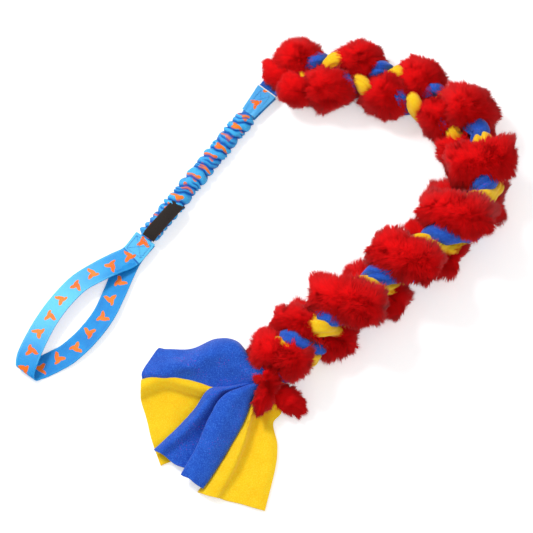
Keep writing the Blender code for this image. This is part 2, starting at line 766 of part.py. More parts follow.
def add_sleeve(hinge, parts, cutters, satin, elastic_material):
    """The gathered sleeve with a flat bore, and the flat elastic that runs through it."""
    sleeve_end = BUNGEE_LENGTH - PATCH_LENGTH - TOUCH_GAP
    pitch = (sleeve_end - SLEEVE_START) / SLEEVE_GATHERS
    points, radii = [], []
    for half in range(2 * SLEEVE_GATHERS + 1):
        points.append(Vector((SLEEVE_START + pitch * half / 2, 0.0, 0.0)))
        at_an_end = half in (0, 2 * SLEEVE_GATHERS)
        crest = SLEEVE_CREST_RADIUS if half % 2 else SLEEVE_VALLEY_RADIUS
        radii.append(SLEEVE_END_RADIUS if at_an_end else crest)
    mesh = tube_mesh("bungee_sleeve", points, radii, SLEEVE_CREST_RADIUS, resolution=3)
    mesh.transform(Matrix.Diagonal((1.0, 1.0, SLEEVE_FLATNESS, 1.0)))
    sleeve = add_object("bungee_sleeve", mesh, hinge, parts, satin)

    bore_width = ELASTIC_WIDTH / 2 + TOUCH_GAP
    bore_height = ELASTIC_THICK / 2 + TOUCH_GAP
    bore = box_mesh(
        "sleeve_bore",
        (SLEEVE_START - CUT_OVERRUN, -bore_width, -bore_height),
        (sleeve_end + CUT_OVERRUN, bore_width, bore_height),
    )
    cut_or_join(sleeve, "DIFFERENCE", [add_cutter("sleeve_bore", bore, hinge, cutters)])

    elastic = box_mesh(
        "bungee_elastic",
        (SLEEVE_START - ELASTIC_ANCHOR, -ELASTIC_WIDTH / 2, -ELASTIC_THICK / 2),
        (sleeve_end + ELASTIC_ANCHOR, ELASTIC_WIDTH / 2, ELASTIC_THICK / 2),
    )
    add_object("bungee_elastic", elastic, hinge, parts, elastic_material)


def add_label(slide, parts, brown):
    """A bare woven label that lies on the sleeve, with its lower end against the strap."""
    over_sleeve = SLEEVE_CREST_RADIUS * SLEEVE_FLATNESS + TOUCH_GAP + LABEL_THICK / 2
    at_strap = SLEEVE_END_RADIUS * SLEEVE_FLATNESS + TOUCH_GAP + LABEL_THICK / 2
    climb_length = (BUNGEE_LENGTH - PATCH_LENGTH - SLEEVE_START) / SLEEVE_GATHERS / 2
    low_end = -TOUCH_GAP
    lines = []
    for row in range(LABEL_ROWS + 1):
        share = row / LABEL_ROWS
        climb = min(LABEL_LENGTH * share / climb_length, 1.0)
        height = at_strap + (over_sleeve - at_strap) * climb
        aside = LABEL_ASIDE * (1 + share)
        along = low_end - LABEL_LENGTH * share
        lines.append([Vector((along, aside + side * LABEL_WIDTH / 2, height)) for side in (-1, 0, 1)])
    label = add_object("label", sheet_mesh("label", lines), slide, parts, brown)
    thicken(label, LABEL_THICK)


def strap_guides():
    """Centre points of the strap from its top end, round the loop, to its bottom end, with their lean.

    The points are measured from the lower edge of the patch, at the height of the bungee's line.
    """
    layer = ELASTIC_THICK / 2 + TOUCH_GAP + STRAP_THICK / 2
    guides = [(Vector((-PATCH_LENGTH, 0.0, layer)), 0.0), (Vector((0.0, 0.0, layer)), 0.0)]
    for along, aside, height, lean in STRAP_LOOP_SHARES:
        up = height * STRAP_WIDTH - BUNGEE_HEIGHT
        guides.append((Vector((along * LOOP_LENGTH, aside * LOOP_LENGTH, up)), math.radians(lean)))
    guides += [(Vector((0.0, 0.0, -layer)), 0.0), (Vector((-PATCH_LENGTH, 0.0, -layer)), 0.0)]
    return guides


def strap_mesh():
    """The strap's middle surface. Its cross lines are square to the bands and straight in the curl."""
    guides = strap_guides()
    centres = smooth_line([place for place, _ in guides], STRAP_STATION_STEPS)
    leans = smooth_line([Vector((lean, 0.0, 0.0)) for _, lean in guides], STRAP_STATION_STEPS)
    lines = []
    for number, centre in enumerate(centres):
        ahead = centres[min(number + 1, len(centres) - 1)] - centres[max(number - 1, 0)]
        flat = Vector((ahead.x, ahead.y, 0.0)).normalized()
        square = Vector((-flat.y, flat.x, 0.0))
        square = square if square.y > 0 else -square
        curl = smoothstep((centre.x / LOOP_LENGTH - CURL_START_SHARE) / (1 - CURL_START_SHARE))
        level = square.lerp(Vector((0.0, 1.0, 0.0)), curl).normalized()
        lean = leans[number].x
        cross = level * math.cos(lean) + Vector((0.0, 0.0, 1.0)) * math.sin(lean)
        lines.append([centre + cross * (side * STRAP_WIDTH / 2) for side in (-1, 0, 1)])
    return sheet_mesh("handle_strap", lines)


def add_handle(fold, fold_height, parts, satin, thread):
    """The handle strap and the crossed box of stitches that holds its ends to the sleeve.

    They fold on a line at the top of the sleeve's end, where the label is caught.
    """
    mesh = strap_mesh()
    mesh.transform(Matrix.Translation((PATCH_LENGTH, 0.0, -fold_height)))
    strap = add_object("handle_strap", mesh, fold, parts, satin)
    thicken(strap, STRAP_THICK)
    top = ELASTIC_THICK / 2 + TOUCH_GAP + STRAP_THICK + TOUCH_GAP + THREAD_THICK / 2
    add_box_stitch(
        "handle_stitching",
        (STITCH_INSET, PATCH_LENGTH - STITCH_INSET),
        STRAP_WIDTH - 2 * STITCH_INSET,
        top - fold_height,
        fold,
        parts,
        thread,
    )


def put_origin_under_the_middle(root, parts):
    """Move the whole toy so that its box stands with the middle of its base at the origin."""
    bpy.context.view_layer.update()
    graph = bpy.context.evaluated_depsgraph_get()
    corners = []
    for obj in parts.objects:
        if obj.type == "MESH":
            solid = obj.evaluated_get(graph)
            corners += [solid.matrix_world @ corner.co for corner in solid.data.vertices]
    low = Vector([min(corner[axis] for corner in corners) for axis in range(3)])
    high = Vector([max(corner[axis] for corner in corners) for axis in range(3)])
    root.location = (-(low.x + high.x) / 2, -(low.y + high.y) / 2, -low.z)
    bpy.context.view_layer.update()


def main():
    clear_scene()
    parts = new_collection("dog_tug_toy")
    cutters = new_collection("cutters")
    satin = new_material("satin_webbing", SATIN_BLUE, 0.35)
    webbing = new_material("connector_webbing", CONNECTOR_BLUE, 0.5)
    blue = new_material("blue_fleece", FLEECE_BLUE, 0.95)
    yellow = new_material("yellow_fleece", FLEECE_YELLOW, 0.95)
    red = new_material("red_fur", FUR_RED, 0.9)
    brown = new_material("label_weave", LABEL_BROWN, 0.8)
    thread = new_material("thread", THREAD_BLUE, 0.6)
    elastic = new_material("elastic", ELASTIC_WHITE, 0.8)

    root = new_empty("part_origin", (0.0, 0.0, 0.0), 0.0, None, parts)
    route = BraidRoute()
    add_braid(route, root, parts, cutters, blue, yellow, red)
    add_whipping(route, root, parts, thread)
    add_fur_tails(root, parts, red)
    add_tails(root, parts, blue, yellow)

    hinge = new_empty("bungee_hinge", bar_place(), BUNGEE_HEADING, root, parts)
    add_connector(hinge, parts, webbing, satin, thread)
    add_sleeve(hinge, parts, cutters, satin, elastic)
    to_patch = (BUNGEE_LENGTH - PATCH_LENGTH, 0.0, 0.0)
    slide = new_empty("bungee_slide", to_patch, 0.0, hinge, parts)
    add_label(slide, parts, brown)
    fold_height = SLEEVE_END_RADIUS * SLEEVE_FLATNESS
    fold = new_empty("handle_fold", (0.0, 0.0, fold_height), 0.0, slide, parts)
    add_handle(fold, fold_height, parts, satin, thread)
    put_origin_under_the_middle(root, parts)


main()
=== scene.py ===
"""Looks of the braided tug toy: pile, fleece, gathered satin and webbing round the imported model."""

import itertools
import json
import math

import bpy
import numpy as np
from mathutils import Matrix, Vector


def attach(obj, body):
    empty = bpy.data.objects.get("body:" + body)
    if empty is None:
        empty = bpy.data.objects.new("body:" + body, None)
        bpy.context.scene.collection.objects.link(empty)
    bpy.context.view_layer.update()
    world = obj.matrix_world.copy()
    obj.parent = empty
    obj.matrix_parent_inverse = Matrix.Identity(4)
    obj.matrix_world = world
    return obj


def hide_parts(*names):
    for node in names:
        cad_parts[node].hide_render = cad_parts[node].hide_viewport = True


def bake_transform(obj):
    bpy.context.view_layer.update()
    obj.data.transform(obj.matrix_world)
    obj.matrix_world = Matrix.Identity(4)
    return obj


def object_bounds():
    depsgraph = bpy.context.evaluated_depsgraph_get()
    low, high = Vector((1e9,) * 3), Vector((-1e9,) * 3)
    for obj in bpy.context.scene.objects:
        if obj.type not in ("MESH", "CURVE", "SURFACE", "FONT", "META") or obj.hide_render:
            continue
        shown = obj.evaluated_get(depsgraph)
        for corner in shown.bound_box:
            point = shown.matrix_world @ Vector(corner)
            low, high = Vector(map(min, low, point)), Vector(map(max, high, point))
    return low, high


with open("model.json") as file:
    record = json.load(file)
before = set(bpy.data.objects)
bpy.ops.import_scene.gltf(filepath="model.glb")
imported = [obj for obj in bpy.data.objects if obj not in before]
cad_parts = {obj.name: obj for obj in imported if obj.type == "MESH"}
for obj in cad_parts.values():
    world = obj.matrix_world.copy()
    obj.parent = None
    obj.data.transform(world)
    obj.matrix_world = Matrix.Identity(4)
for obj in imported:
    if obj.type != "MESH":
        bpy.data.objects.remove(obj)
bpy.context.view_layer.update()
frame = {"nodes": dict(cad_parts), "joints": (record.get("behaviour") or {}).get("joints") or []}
nodes = frame["nodes"]
joints = {joint["name"]: joint for joint in frame["joints"]}

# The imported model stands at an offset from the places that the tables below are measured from
LAY_SPAN = 0.540
BUNGEE_HEIGHT = 0.0072
BAR = np.array(joints["connector_swing"]["pos_m"])
SHIFT = BAR - np.array([0.015 * LAY_SPAN, 0.4026 * LAY_SPAN, BUNGEE_HEIGHT])

# The bungee's line: ahead to the hand loop, aside and up
HEADING = math.radians(-127.5)
AHEAD = np.array([math.cos(HEADING), math.sin(HEADING), 0.0])
ASIDE = np.array([-math.sin(HEADING), math.cos(HEADING), 0.0])
UP = np.array([0.0, 0.0, 1.0])

# Places along the bungee's line, and the sizes of its webbing
BUNGEE_LENGTH, PATCH_LENGTH = 0.254, 0.025
SLEEVE_START, SLEEVE_END = 0.049, 0.2287
STRAP_WIDTH, STRAP_THICK, LOOP_LENGTH = 0.025, 0.0013, 0.170
CONNECTOR_THICK, HEM_THICK, LABEL_THICK, SOFT_EDGE = 0.0012, 0.0009, 0.0008, 0.0003
# The connector: half its width, half the gap between its layers, the radius of its eye, places along
# its flat part, and by how much, from where and over what length it narrows
CONNECTOR_HALF, CONNECTOR_LAYER, CONNECTOR_EYE = 0.0110, 0.0016, 0.0047
CONNECTOR_SPOTS = (0.046, 0.034, 0.024, 0.014)
NARROWS_BY, NARROWS_FROM, NARROWS_OVER = 0.0042, 0.013, 0.030
# The hem: its widths, its height over the middle, and how it rises, dips at its sides and puckers
HEM_START, HEM_WIDE, HEM_NARROW = 0.0155, 0.0244, 0.0166
HEM_HEIGHT, HEM_RISE, HEM_DIP, HEM_PUCKER = 0.0036, 0.0010, 0.0004, 0.0005
RAW_HALF, RAW_HEIGHT, RAW_DIP, RAW_RADIUS, RAW_FRAY = 0.0121, 0.0037, 0.0003, 0.0007, 0.0001
# The sleeve: folds, radius inside them, its wall, how far a fold stands out, and its height to its width
GATHERS, SLEEVE_CORE, SLEEVE_WALL, SLEEVE_FOLD, SLEEVE_FLAT = 17, 0.0066, 0.0012, 0.0042, 0.74
# Folds under the first height are pressed flat, down to the second one
PRESSED_UNDER, PRESSED_TO = 0.0020, 0.0004
ELASTIC_BEFORE, ELASTIC_SHORT, ELASTIC_HALF, ELASTIC_HIGH = 0.021, 0.008, 0.005, 0.001
# The sleeve's soft end: how far back it starts, its length, its half width and height, and what they lose
END_BACK, END_LENGTH, END_WIDE, END_HIGH = 0.005, 0.015, 0.0062, 0.0044
END_NARROWS, END_FLATTENS = 0.0016, 0.0034
LABEL_WIDTH, LABEL_LENGTH, LABEL_BACK, LABEL_ASIDE = 0.015, 0.052, 0.0006, 0.0025
LABEL_HEIGHT, LABEL_LIFT, LABEL_ARCH, LABEL_DIP, LABEL_WAVE = 0.0052, 0.0030, 0.0016, 0.0007, 0.0003
LABEL_DROP = 0.0042
# Stitches: how far the crossed boxes keep from the ends and sides of the patch, and the hem's box
PATCH_END_GAP, PATCH_SIDE_GAP, PATCH_HEIGHT = 0.0035, 0.0030, 0.00165
HEM_BOX_FROM, HEM_BOX_TO, HEM_BOX_HALF, HEM_BOX_HEIGHT = 0.004, 0.022, 0.0060, 0.0043

MILLIMETRE = 0.001
FULL_TURN = 2 * math.pi
random = np.random.default_rng(7)


# General helpers
def smooth_line(points, steps):
    """Catmull-Rom through the points, with that many steps between neighbours."""
    points = np.asarray(points, float)
    guides = np.vstack([2 * points[0] - points[1], points, 2 * points[-1] - points[-2]])
    line = []
    for number in range(len(points) - 1):
        before, start, end, after = guides[number : number + 4]
        for step in range(steps):
            t = step / steps
            straight = end - before
            bend = 2 * before - 5 * start + 4 * end - after
            twist = -before + 3 * start - 3 * end + after
            line.append((2 * start + straight * t + bend * t**2 + twist * t**3) / 2)
    line.append(points[-1])
    return np.array(line)


def smoothstep(value):
    value = np.clip(value, 0.0, 1.0)
    return value * value * (3 - 2 * value)


def unit(vectors):
    length = np.linalg.norm(vectors, axis=-1, keepdims=True)
    return vectors / np.maximum(length, 1e-12)


NOISE = np.random.default_rng(3).uniform(-1.0, 1.0, 4093)


def grain(points, scale, seed=0.0):
    """Smooth noise from -1 to 1 whose bumps are about scale metres apart, for an array of points."""
    spot = np.asarray(points, float) / scale + seed * np.array([1.0, -1.7, 0.6])
    cell = np.floor(spot).astype(int)
    share = smoothstep(spot - cell)
    value = np.zeros(spot.shape[:-1])
    for corner in itertools.product((0, 1), repeat=3):
        weight = np.prod(np.where(np.array(corner, bool), share, 1 - share), axis=-1)
        value += weight * NOISE[(cell + corner) @ np.array([73, 1259, 3331]) % len(NOISE)]
    return value


def full_circle(count):
    """Angles spread evenly over a full turn."""
    return np.linspace(0, FULL_TURN, count, endpoint=False)


def rings(side, top, angle):
    """Directions round a line: a row for each of its points, a column for each angle."""
    return side[:, None] * np.cos(angle)[:, None] + top[:, None] * np.sin(angle)[:, None]


def reach_along(points):
    """How far along a line each of its points is."""
    return np.concatenate([[0.0], np.cumsum(np.linalg.norm(np.diff(points, axis=0), axis=1))])


def on_bungee(along, aside, up):
    """Points from their place along the bungee's line, to the side of it and above it."""
    along, aside, up = (np.asarray(value, float)[..., None] for value in (along, aside, up))
    return BAR + along * AHEAD + aside * ASIDE + up * UP


def new_object(name, data):
    obj = bpy.data.objects.new(name, data)
    bpy.context.scene.collection.objects.link(obj)
    return obj


def face_object(name, verts, faces):
    mesh = bpy.data.meshes.new(name)
    mesh.from_pydata(verts, [], faces)
    mesh.shade_smooth()
    return new_object(name, mesh)


def finish_piece(obj, material, body, node=None):
    """Gives a piece its material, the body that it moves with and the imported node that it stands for."""
    obj.data.materials.append(material)
    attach(obj, body)
    if node:
        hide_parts(node)


def bend_piece(obj):
    """Bakes a piece's place and turn into its mesh."""
    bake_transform(obj)


def add_values(mesh, name, values):
    """Gives every point of a mesh a value that the materials read."""
    layer = mesh.attributes.new(name, "FLOAT", "POINT")
    layer.data.foreach_set("value", np.broadcast_to(values, len(mesh.vertices)).astype(np.float32))


def grid_object(name, grid, wrap=False, uv=None, caps=False):
    """A smooth quad mesh through a grid of points, closed round its second direction if wrap is set.

    Its places on the cloth are given as metres along it for each row and across it for each column.
    """
    rows, columns = grid.shape[:2]
    corners = [
        ((row, column), (row, column + 1), (row + 1, column + 1), (row + 1, column))
        for row in range(rows - 1)
        for column in range(columns if wrap else columns - 1)
    ]
    faces = [tuple(row * columns + column % columns for row, column in face) for face in corners]
    if caps:
        corners += [[(row, column) for column in range(columns)] for row in (0, rows - 1)]
        faces += [range(columns)[::-1], range((rows - 1) * columns, rows * columns)]
    obj = face_object(name, grid.reshape(-1, 3).tolist(), faces)
    if uv:
        along, across = uv
        layer = obj.data.uv_layers.new(name="cloth")
        places = [(along[row], across[column]) for face in corners for row, column in face]
        layer.data.foreach_set("uv", np.ravel(places))
    return obj


def thicken(obj, thickness, bevel):
    """Turns a sheet into cloth with a thickness and soft edges."""
    solid = obj.modifiers.new("Thickness", "SOLIDIFY")
    solid.thickness = thickness
    solid.offset = 0.0
    solid.use_even_offset = False
    edge = obj.modifiers.new("Edge", "BEVEL")
    edge.width = bevel
    edge.segments = 3
    edge.limit_method = "ANGLE"
    edge.angle_limit = math.radians(50)
    bpy.context.view_layer.update()
    graph = bpy.context.evaluated_depsgraph_get()
    mesh = bpy.data.meshes.new_from_object(obj.evaluated_get(graph))
    obj.modifiers.clear()
    obj.data = mesh
    mesh.shade_smooth()


def tube(name, points, radii, sides, closed=False):
    """A round tube along points."""
    points = np.asarray(points, float)
    radii = np.broadcast_to(np.asarray(radii, float), len(points))
    if closed:
        ahead = unit(np.roll(points, -1, 0) - np.roll(points, 1, 0))
    else:
        ahead = unit(np.gradient(points, axis=0))
    side = np.cross(ahead, UP)
    side = unit(np.where(np.linalg.norm(side, axis=1, keepdims=True) < 0.1, np.array([1.0, 0, 0]), side))
    top = unit(np.cross(side, ahead))
    grid = points[:, None] + rings(side, top, full_circle(sides)) * radii[:, None, None]
    if closed:
        grid = np.concatenate([grid, grid[:1]])
    return grid_object(name, grid, wrap=True, caps=not closed)


# Materials. Colours are red, green and blue from 0 to 255
def srgb(red, green, blue):
    def linear(value):
        value /= 255
        return value / 12.92 if value <= 0.04045 else ((value + 0.055) / 1.055) ** 2.4

    return (linear(red), linear(green), linear(blue), 1.0)


class Paint:
    """Builds one node material: nodes are added in steps, and each step gives an output to go on with."""

    def __init__(self, name, roughness, sheen, specular):
        self.material = bpy.data.materials.new(name)
        self.material.use_nodes = True
        self.tree = self.material.node_tree
        self.shader = self.tree.nodes["Principled BSDF"]
        looks = {"Roughness": roughness, "Sheen Weight": sheen, "Specular IOR Level": specular}
        for key, value in looks.items():
            self.shader.inputs[key].default_value = value

    def node(self, kind, inputs=None, **settings):
        """Adds a node and gives its outputs. An input is a number, a colour or the output of a node."""
        made = self.tree.nodes.new(kind)
        for key, value in settings.items():
            setattr(made, key, value)
        for key, value in (inputs or {}).items():
            if isinstance(value, (int, float)):
                made.inputs[key].default_value = value
            elif isinstance(value, tuple):
                made.inputs[key].default_value = srgb(*value)
            else:
                self.tree.links.new(value, made.inputs[key])
        return made.outputs

    def place(self):
        return self.node("ShaderNodeTexCoord")["Object"]

    def cloth(self):
        """Metres on the cloth, and of these the way along it and the way across it."""
        cloth = self.node("ShaderNodeUVMap", uv_map="cloth")[0]
        split = self.node("ShaderNodeSeparateXYZ", {0: cloth})
        return cloth, split[0], split[1]

    def attribute(self, name):
        return self.node("ShaderNodeAttribute", attribute_name=name)["Fac"]

    def noise(self, vector, scale, detail=2.0, roughness=0.5):
        inputs = {"Vector": vector, "Scale": scale, "Detail": detail, "Roughness": roughness}
        return self.node("ShaderNodeTexNoise", inputs)["Fac"]

    def math(self, operation, *values):
        return self.node("ShaderNodeMath", dict(enumerate(values)), operation=operation)[0]

    def times(self, first, second):
        return self.math("MULTIPLY", first, second)

    def gap(self, value, spot):
        """How far a value is from a spot."""
        return self.math("ABSOLUTE", self.math("SUBTRACT", value, spot))

    def waves(self, value, pitch):
        return self.math("SINE", self.times(value, FULL_TURN / pitch))

    def steps(self, value, low, high):
        """0 under low, 1 over high, smooth between; the other way round if high is the lower one."""
        inputs = {"Value": value, "From Min": low, "From Max": high}
        return self.node("ShaderNodeMapRange", inputs, interpolation_type="SMOOTHSTEP")["Result"]

    def mix(self, share, first, second):
        return self.node("ShaderNodeMix", {0: share, 6: first, 7: second}, data_type="RGBA")[2]

    def over(self, colour, mask, share, top):
        """Lays a share of another colour over a colour where the mask is set."""
        return self.mix(self.times(mask, share), colour, top)

    def finish(self, colour, height=None, distance=0.0, strength=0.0):
        """Sets the colour and, where a height is given, the bumps."""
        self.tree.links.new(colour, self.shader.inputs["Base Color"])
        if height:
            inputs = {"Height": height, "Distance": distance, "Strength": strength}
            self.tree.links.new(self.node("ShaderNodeBump", inputs)[0], self.shader.inputs["Normal"])
        return self.material


def fleece_paint(name, base, shade, light, fuzz, fuzz_share):
    """Brushed fleece: a soft mottled nap with a little lint of another colour."""
    paint = Paint(name, 0.95, 0.25, 0.15)
    place = paint.place()
    nap = paint.noise(place, 900.0, 4.0, 0.65)
    colour = paint.over(base, paint.steps(paint.noise(place, 90.0, 3.0), 0.68, 0.30), 0.45, shade)
    colour = paint.over(colour, paint.steps(nap, 0.52, 0.34), 0.55, shade)
    colour = paint.over(colour, paint.steps(nap, 0.48, 0.68), 0.8, light)
    specks = paint.steps(paint.noise(place, 700.0), 0.60, 0.70)
    lint = paint.times(specks, paint.steps(paint.noise(place, 45.0, 1.0), 0.50, 0.62))
    return paint.finish(paint.over(colour, lint, fuzz_share, fuzz), nap, 0.0006, 0.7)


MOTIF_PITCH = 0.044
# Each leaf: its place along one repeat and across the band, its turn, and its half length and half width
MOTIF_LEAVES = (
    (0.205, 0.0035, 62.0, 0.0054, 0.0022),
    (0.265, -0.0005, -28.0, 0.0052, 0.0023),
    (0.170, -0.0020, 15.0, 0.0044, 0.0019),
    (0.240, 0.0072, 100.0, 0.0020, 0.0012),
    (0.705, -0.0035, 118.0, 0.0054, 0.0022),
    (0.765, 0.0005, 208.0, 0.0052, 0.0023),
    (0.670, 0.0020, 165.0, 0.0044, 0.0019),
    (0.740, -0.0072, 80.0, 0.0020, 0.0012),
)


def motif_mask(paint, cloth, along, across):
    """Sprigs of three leaves in one row, every other one turned round."""
    wander = paint.times(paint.math("SUBTRACT", paint.noise(cloth, 420.0, 1.0), 0.5), 0.9)
    cell = paint.times(paint.math("FRACT", paint.math("DIVIDE", along, MOTIF_PITCH)), MOTIF_PITCH)
    mask = 0.0
    for share, aside, turn, long, wide in MOTIF_LEAVES:
        dx = paint.math("SUBTRACT", cell, share * MOTIF_PITCH)
        dy = paint.math("SUBTRACT", across, aside)
        cosine, sine = math.cos(math.radians(turn)), math.sin(math.radians(turn))
        ahead = paint.math("MULTIPLY_ADD", dx, cosine / long, paint.times(dy, sine / long))
        side = paint.math("MULTIPLY_ADD", dx, -sine / wide, paint.times(dy, cosine / wide))
        reach = paint.math("MULTIPLY_ADD", ahead, ahead, paint.times(side, side))
        leaf = paint.steps(paint.math("ADD", reach, wander), 1.15, 0.85)
        mask = paint.math("MAXIMUM", mask, leaf)
    return mask


# The lighter sewn end lies over the band as far as this edge
PATCH_EDGE = 0.0290
# How far the sewn edge line is from the middle of the band
BAND_EDGE, CONNECTOR_EDGE = 0.0106, 0.0100


def satin_paint(name, base, shade, light, roughness=0.36, edge=0.0, crest=False, painted_highlight_at=None):
    """Printed satin webbing: fine cross ribs, soft shine and orange marks; where asked, a painted highlight
    along the band and painted shade in the valleys of the gathers.
    """
    paint = Paint(name, roughness, 0.0, 0.3)
    cloth, along, across = paint.cloth()
    weave = paint.math("ADD", paint.waves(along, 0.0009), paint.times(paint.waves(across, 0.0007), 0.6))
    soft = paint.noise(paint.place(), 40.0)
    colour = paint.over(base, paint.steps(soft, 0.65, 0.35), 0.25 if crest else 1.0, shade)
    colour = paint.over(colour, paint.steps(weave, -1.0, 1.4), 0.22, light)
    if edge:
        side = paint.math("ABSOLUTE", across)
        colour = paint.over(colour, paint.steps(paint.gap(side, edge), 0.0004, 0.0001), 0.45, shade)
        colour = paint.over(colour, paint.steps(side, edge - 0.0004, edge + 0.0001), 0.25, light)
    if painted_highlight_at:
        patch = paint.steps(along, PATCH_EDGE + 0.0002, PATCH_EDGE - 0.0002)
        # Painted shadow: a thin darker line just past the edge of the sewn end
        shadow = paint.steps(paint.gap(along, PATCH_EDGE + 0.0006), 0.0012, 0.0002)
        colour = paint.over(paint.over(colour, patch, 0.55, light), shadow, 0.8, (0, 84, 178))
        # Painted highlight: the colour is lightened where the satin would shine as the band bends towards the
        # light
        middle, reach = painted_highlight_at
        colour = paint.over(colour, paint.steps(paint.gap(along, middle), reach, 0.0), 0.75, light)
    orange = paint.mix(paint.steps(soft, 0.4, 0.6), (255, 112, 14), (255, 136, 34))
    colour = paint.mix(motif_mask(paint, cloth, along, across), colour, orange)
    if crest:
        # Painted shade: the valleys between the gathers are darkened towards the shade colour
        colour = paint.over(colour, paint.steps(paint.attribute("crest"), 0.88, 0.30), 0.92, shade)
    return paint.finish(colour, weave, 0.00006, 0.5)


def fur_paint():
    """Long pile: saturated red, darker towards the roots as painted shade between the hairs, a little lighter
    at the tips.
    """
    paint = Paint("red_pile", 0.85, 0.1, 0.15)
    tip, tint = paint.attribute("tip"), paint.attribute("tint")
    # Painted shade: the roots are darker, for the shade deep in the pile
    root = paint.mix(tint, (172, 0, 2), (245, 0, 4))
    body = paint.mix(tint, (222, 0, 2), (255, 0, 6))
    end = paint.mix(tint, (238, 0, 4), (255, 10, 18))
    colour = paint.mix(paint.steps(tip, 0.0, 0.55), root, body)
    return paint.finish(paint.mix(paint.steps(tip, 0.6, 1.0), colour, end))


def plain_paint(name, base, light, scale, roughness, distance):
    """A surface with fine grain in colour and bump."""
    paint = Paint(name, roughness, 0.1, 0.3)
    fine = paint.noise(paint.place(), scale, 3.0, 0.6)
    return paint.finish(paint.mix(paint.steps(fine, 0.35, 0.7), base, light), fine, distance, 0.8)


def label_paint():
    """Tightly woven black-brown ribbon with lighter edges."""
    paint = Paint("bare_label", 0.75, 0.1, 0.25)
    _, along, across = paint.cloth()
    weave = paint.times(paint.waves(along, 0.0011), paint.waves(across, 0.0008))
    colour = paint.mix(paint.steps(weave, -0.6, 0.8), (24, 19, 18), (54, 42, 36))
    border = paint.steps(paint.math("ABSOLUTE", across), 0.0060, 0.0064)
    return paint.finish(paint.over(colour, border, 0.35, (74, 54, 44)), weave, 0.00012, 0.7)


BLUE_FLEECE = fleece_paint(
    "blue_fleece", (34, 92, 206), (22, 64, 172), (66, 128, 230), (150, 60, 190), 0.6
)
YELLOW_FLEECE = fleece_paint(
    "yellow_fleece", (255, 212, 24), (255, 190, 4), (255, 226, 62), (255, 150, 20), 0.4
)
SATIN = satin_paint(
    "satin_print", (22, 162, 236), (6, 142, 226), (112, 220, 255), edge=BAND_EDGE, painted_highlight_at=(0.125, 0.075)
)
# The inside face: rougher, and a darker blue that is painted shade
SATIN_INSIDE_SHADED = satin_paint(
    "satin_print_inside_shaded", (6, 150, 230), (0, 130, 216), (58, 186, 246), edge=BAND_EDGE, roughness=0.5
)
CONNECTOR_BLUE = satin_paint(
    "connector_blue", (14, 104, 208), (4, 78, 180), (40, 136, 232), edge=CONNECTOR_EDGE, roughness=0.55
)
SATIN_HEM = satin_paint("satin_hem", (84, 184, 242), (58, 162, 232), (140, 216, 252), roughness=0.5)
SATIN_GATHERED = satin_paint(
    "satin_gathered", (52, 180, 246), (0, 92, 190), (124, 218, 255), roughness=0.38, crest=True
)
FUR = fur_paint()
LABEL = label_paint()
THREAD = plain_paint("thread", (60, 160, 235), (120, 205, 255), 1500.0, 0.55, 0.0001)
CUT_EDGE = plain_paint("white_cut_edge", (225, 232, 240), (255, 255, 255), 1200.0, 0.8, 0.0002)
TIE_THREAD = plain_paint("tie_thread", (150, 0, 8), (205, 10, 20), 1500.0, 0.7, 0.0001)
ELASTIC = plain_paint("elastic", (225, 222, 214), (245, 243, 238), 1400.0, 0.8, 0.0002)


# Camera, light and floor
FRAME_WIDTH = 0.5703
SENSOR_WIDTH = 36.0
CAMERA_DISTANCE = 6.0
ELEVATION = math.radians(70.0)
LOOK_AT = Vector((SHIFT[0] - 0.0021, SHIFT[1] + 0.0068, 0.0))
FLOOR_REACH, FLOOR_GAP, FLOOR_GREY = 6.0, 0.0004, 0.93
# How much the floor glows for the camera alone, and how much light the white world gives
FLOOR_GLOW, WORLD_LIGHT = 0.42, 0.60


def add_camera():
    camera = bpy.data.cameras.new("camera")
    camera.sensor_width = SENSOR_WIDTH
    camera.lens = SENSOR_WIDTH * CAMERA_DISTANCE / FRAME_WIDTH
    camera.clip_start = 0.1
    camera.clip_end = 50.0
    holder = new_object("camera", camera)
    holder.location = LOOK_AT + Vector((0.0, -math.cos(ELEVATION), math.sin(ELEVATION))) * CAMERA_DISTANCE
    holder.rotation_euler = (math.pi / 2 - ELEVATION, 0.0, 0.0)
    bpy.context.scene.camera = holder


def add_area_light(name, direction, distance, size, power):
    lamp = bpy.data.lights.new(name, "AREA")
    lamp.shape = "DISK"
    lamp.size = size
    lamp.energy = power
    holder = new_object(name, lamp)
    towards = Vector(direction).normalized()
    holder.location = LOOK_AT + towards * distance
    holder.rotation_euler = towards.to_track_quat("Z", "Y").to_euler()


def add_floor():
    low = min(0.0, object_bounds()[0][2]) - FLOOR_GAP
    corners = ((-1, -1), (1, -1), (1, 1), (-1, 1))
    floor = face_object("floor", [(x * FLOOR_REACH, y * FLOOR_REACH, low) for x, y in corners], [range(4)])
    paint = Paint("white_floor", 1.0, 0.0, 0.0)
    paint.shader.inputs["Base Color"].default_value = (FLOOR_GREY, FLOOR_GREY, FLOOR_GREY, 1.0)
    seen = paint.times(paint.node("ShaderNodeLightPath")["Is Camera Ray"], FLOOR_GLOW)
    glow = paint.node("ShaderNodeEmission", {"Color": (255, 255, 255), "Strength": seen})[0]
    both = paint.node("ShaderNodeAddShader", {0: paint.shader.outputs[0], 1: glow})[0]
    paint.tree.links.new(both, paint.tree.nodes["Material Output"].inputs["Surface"])
    floor.data.materials.append(paint.material)


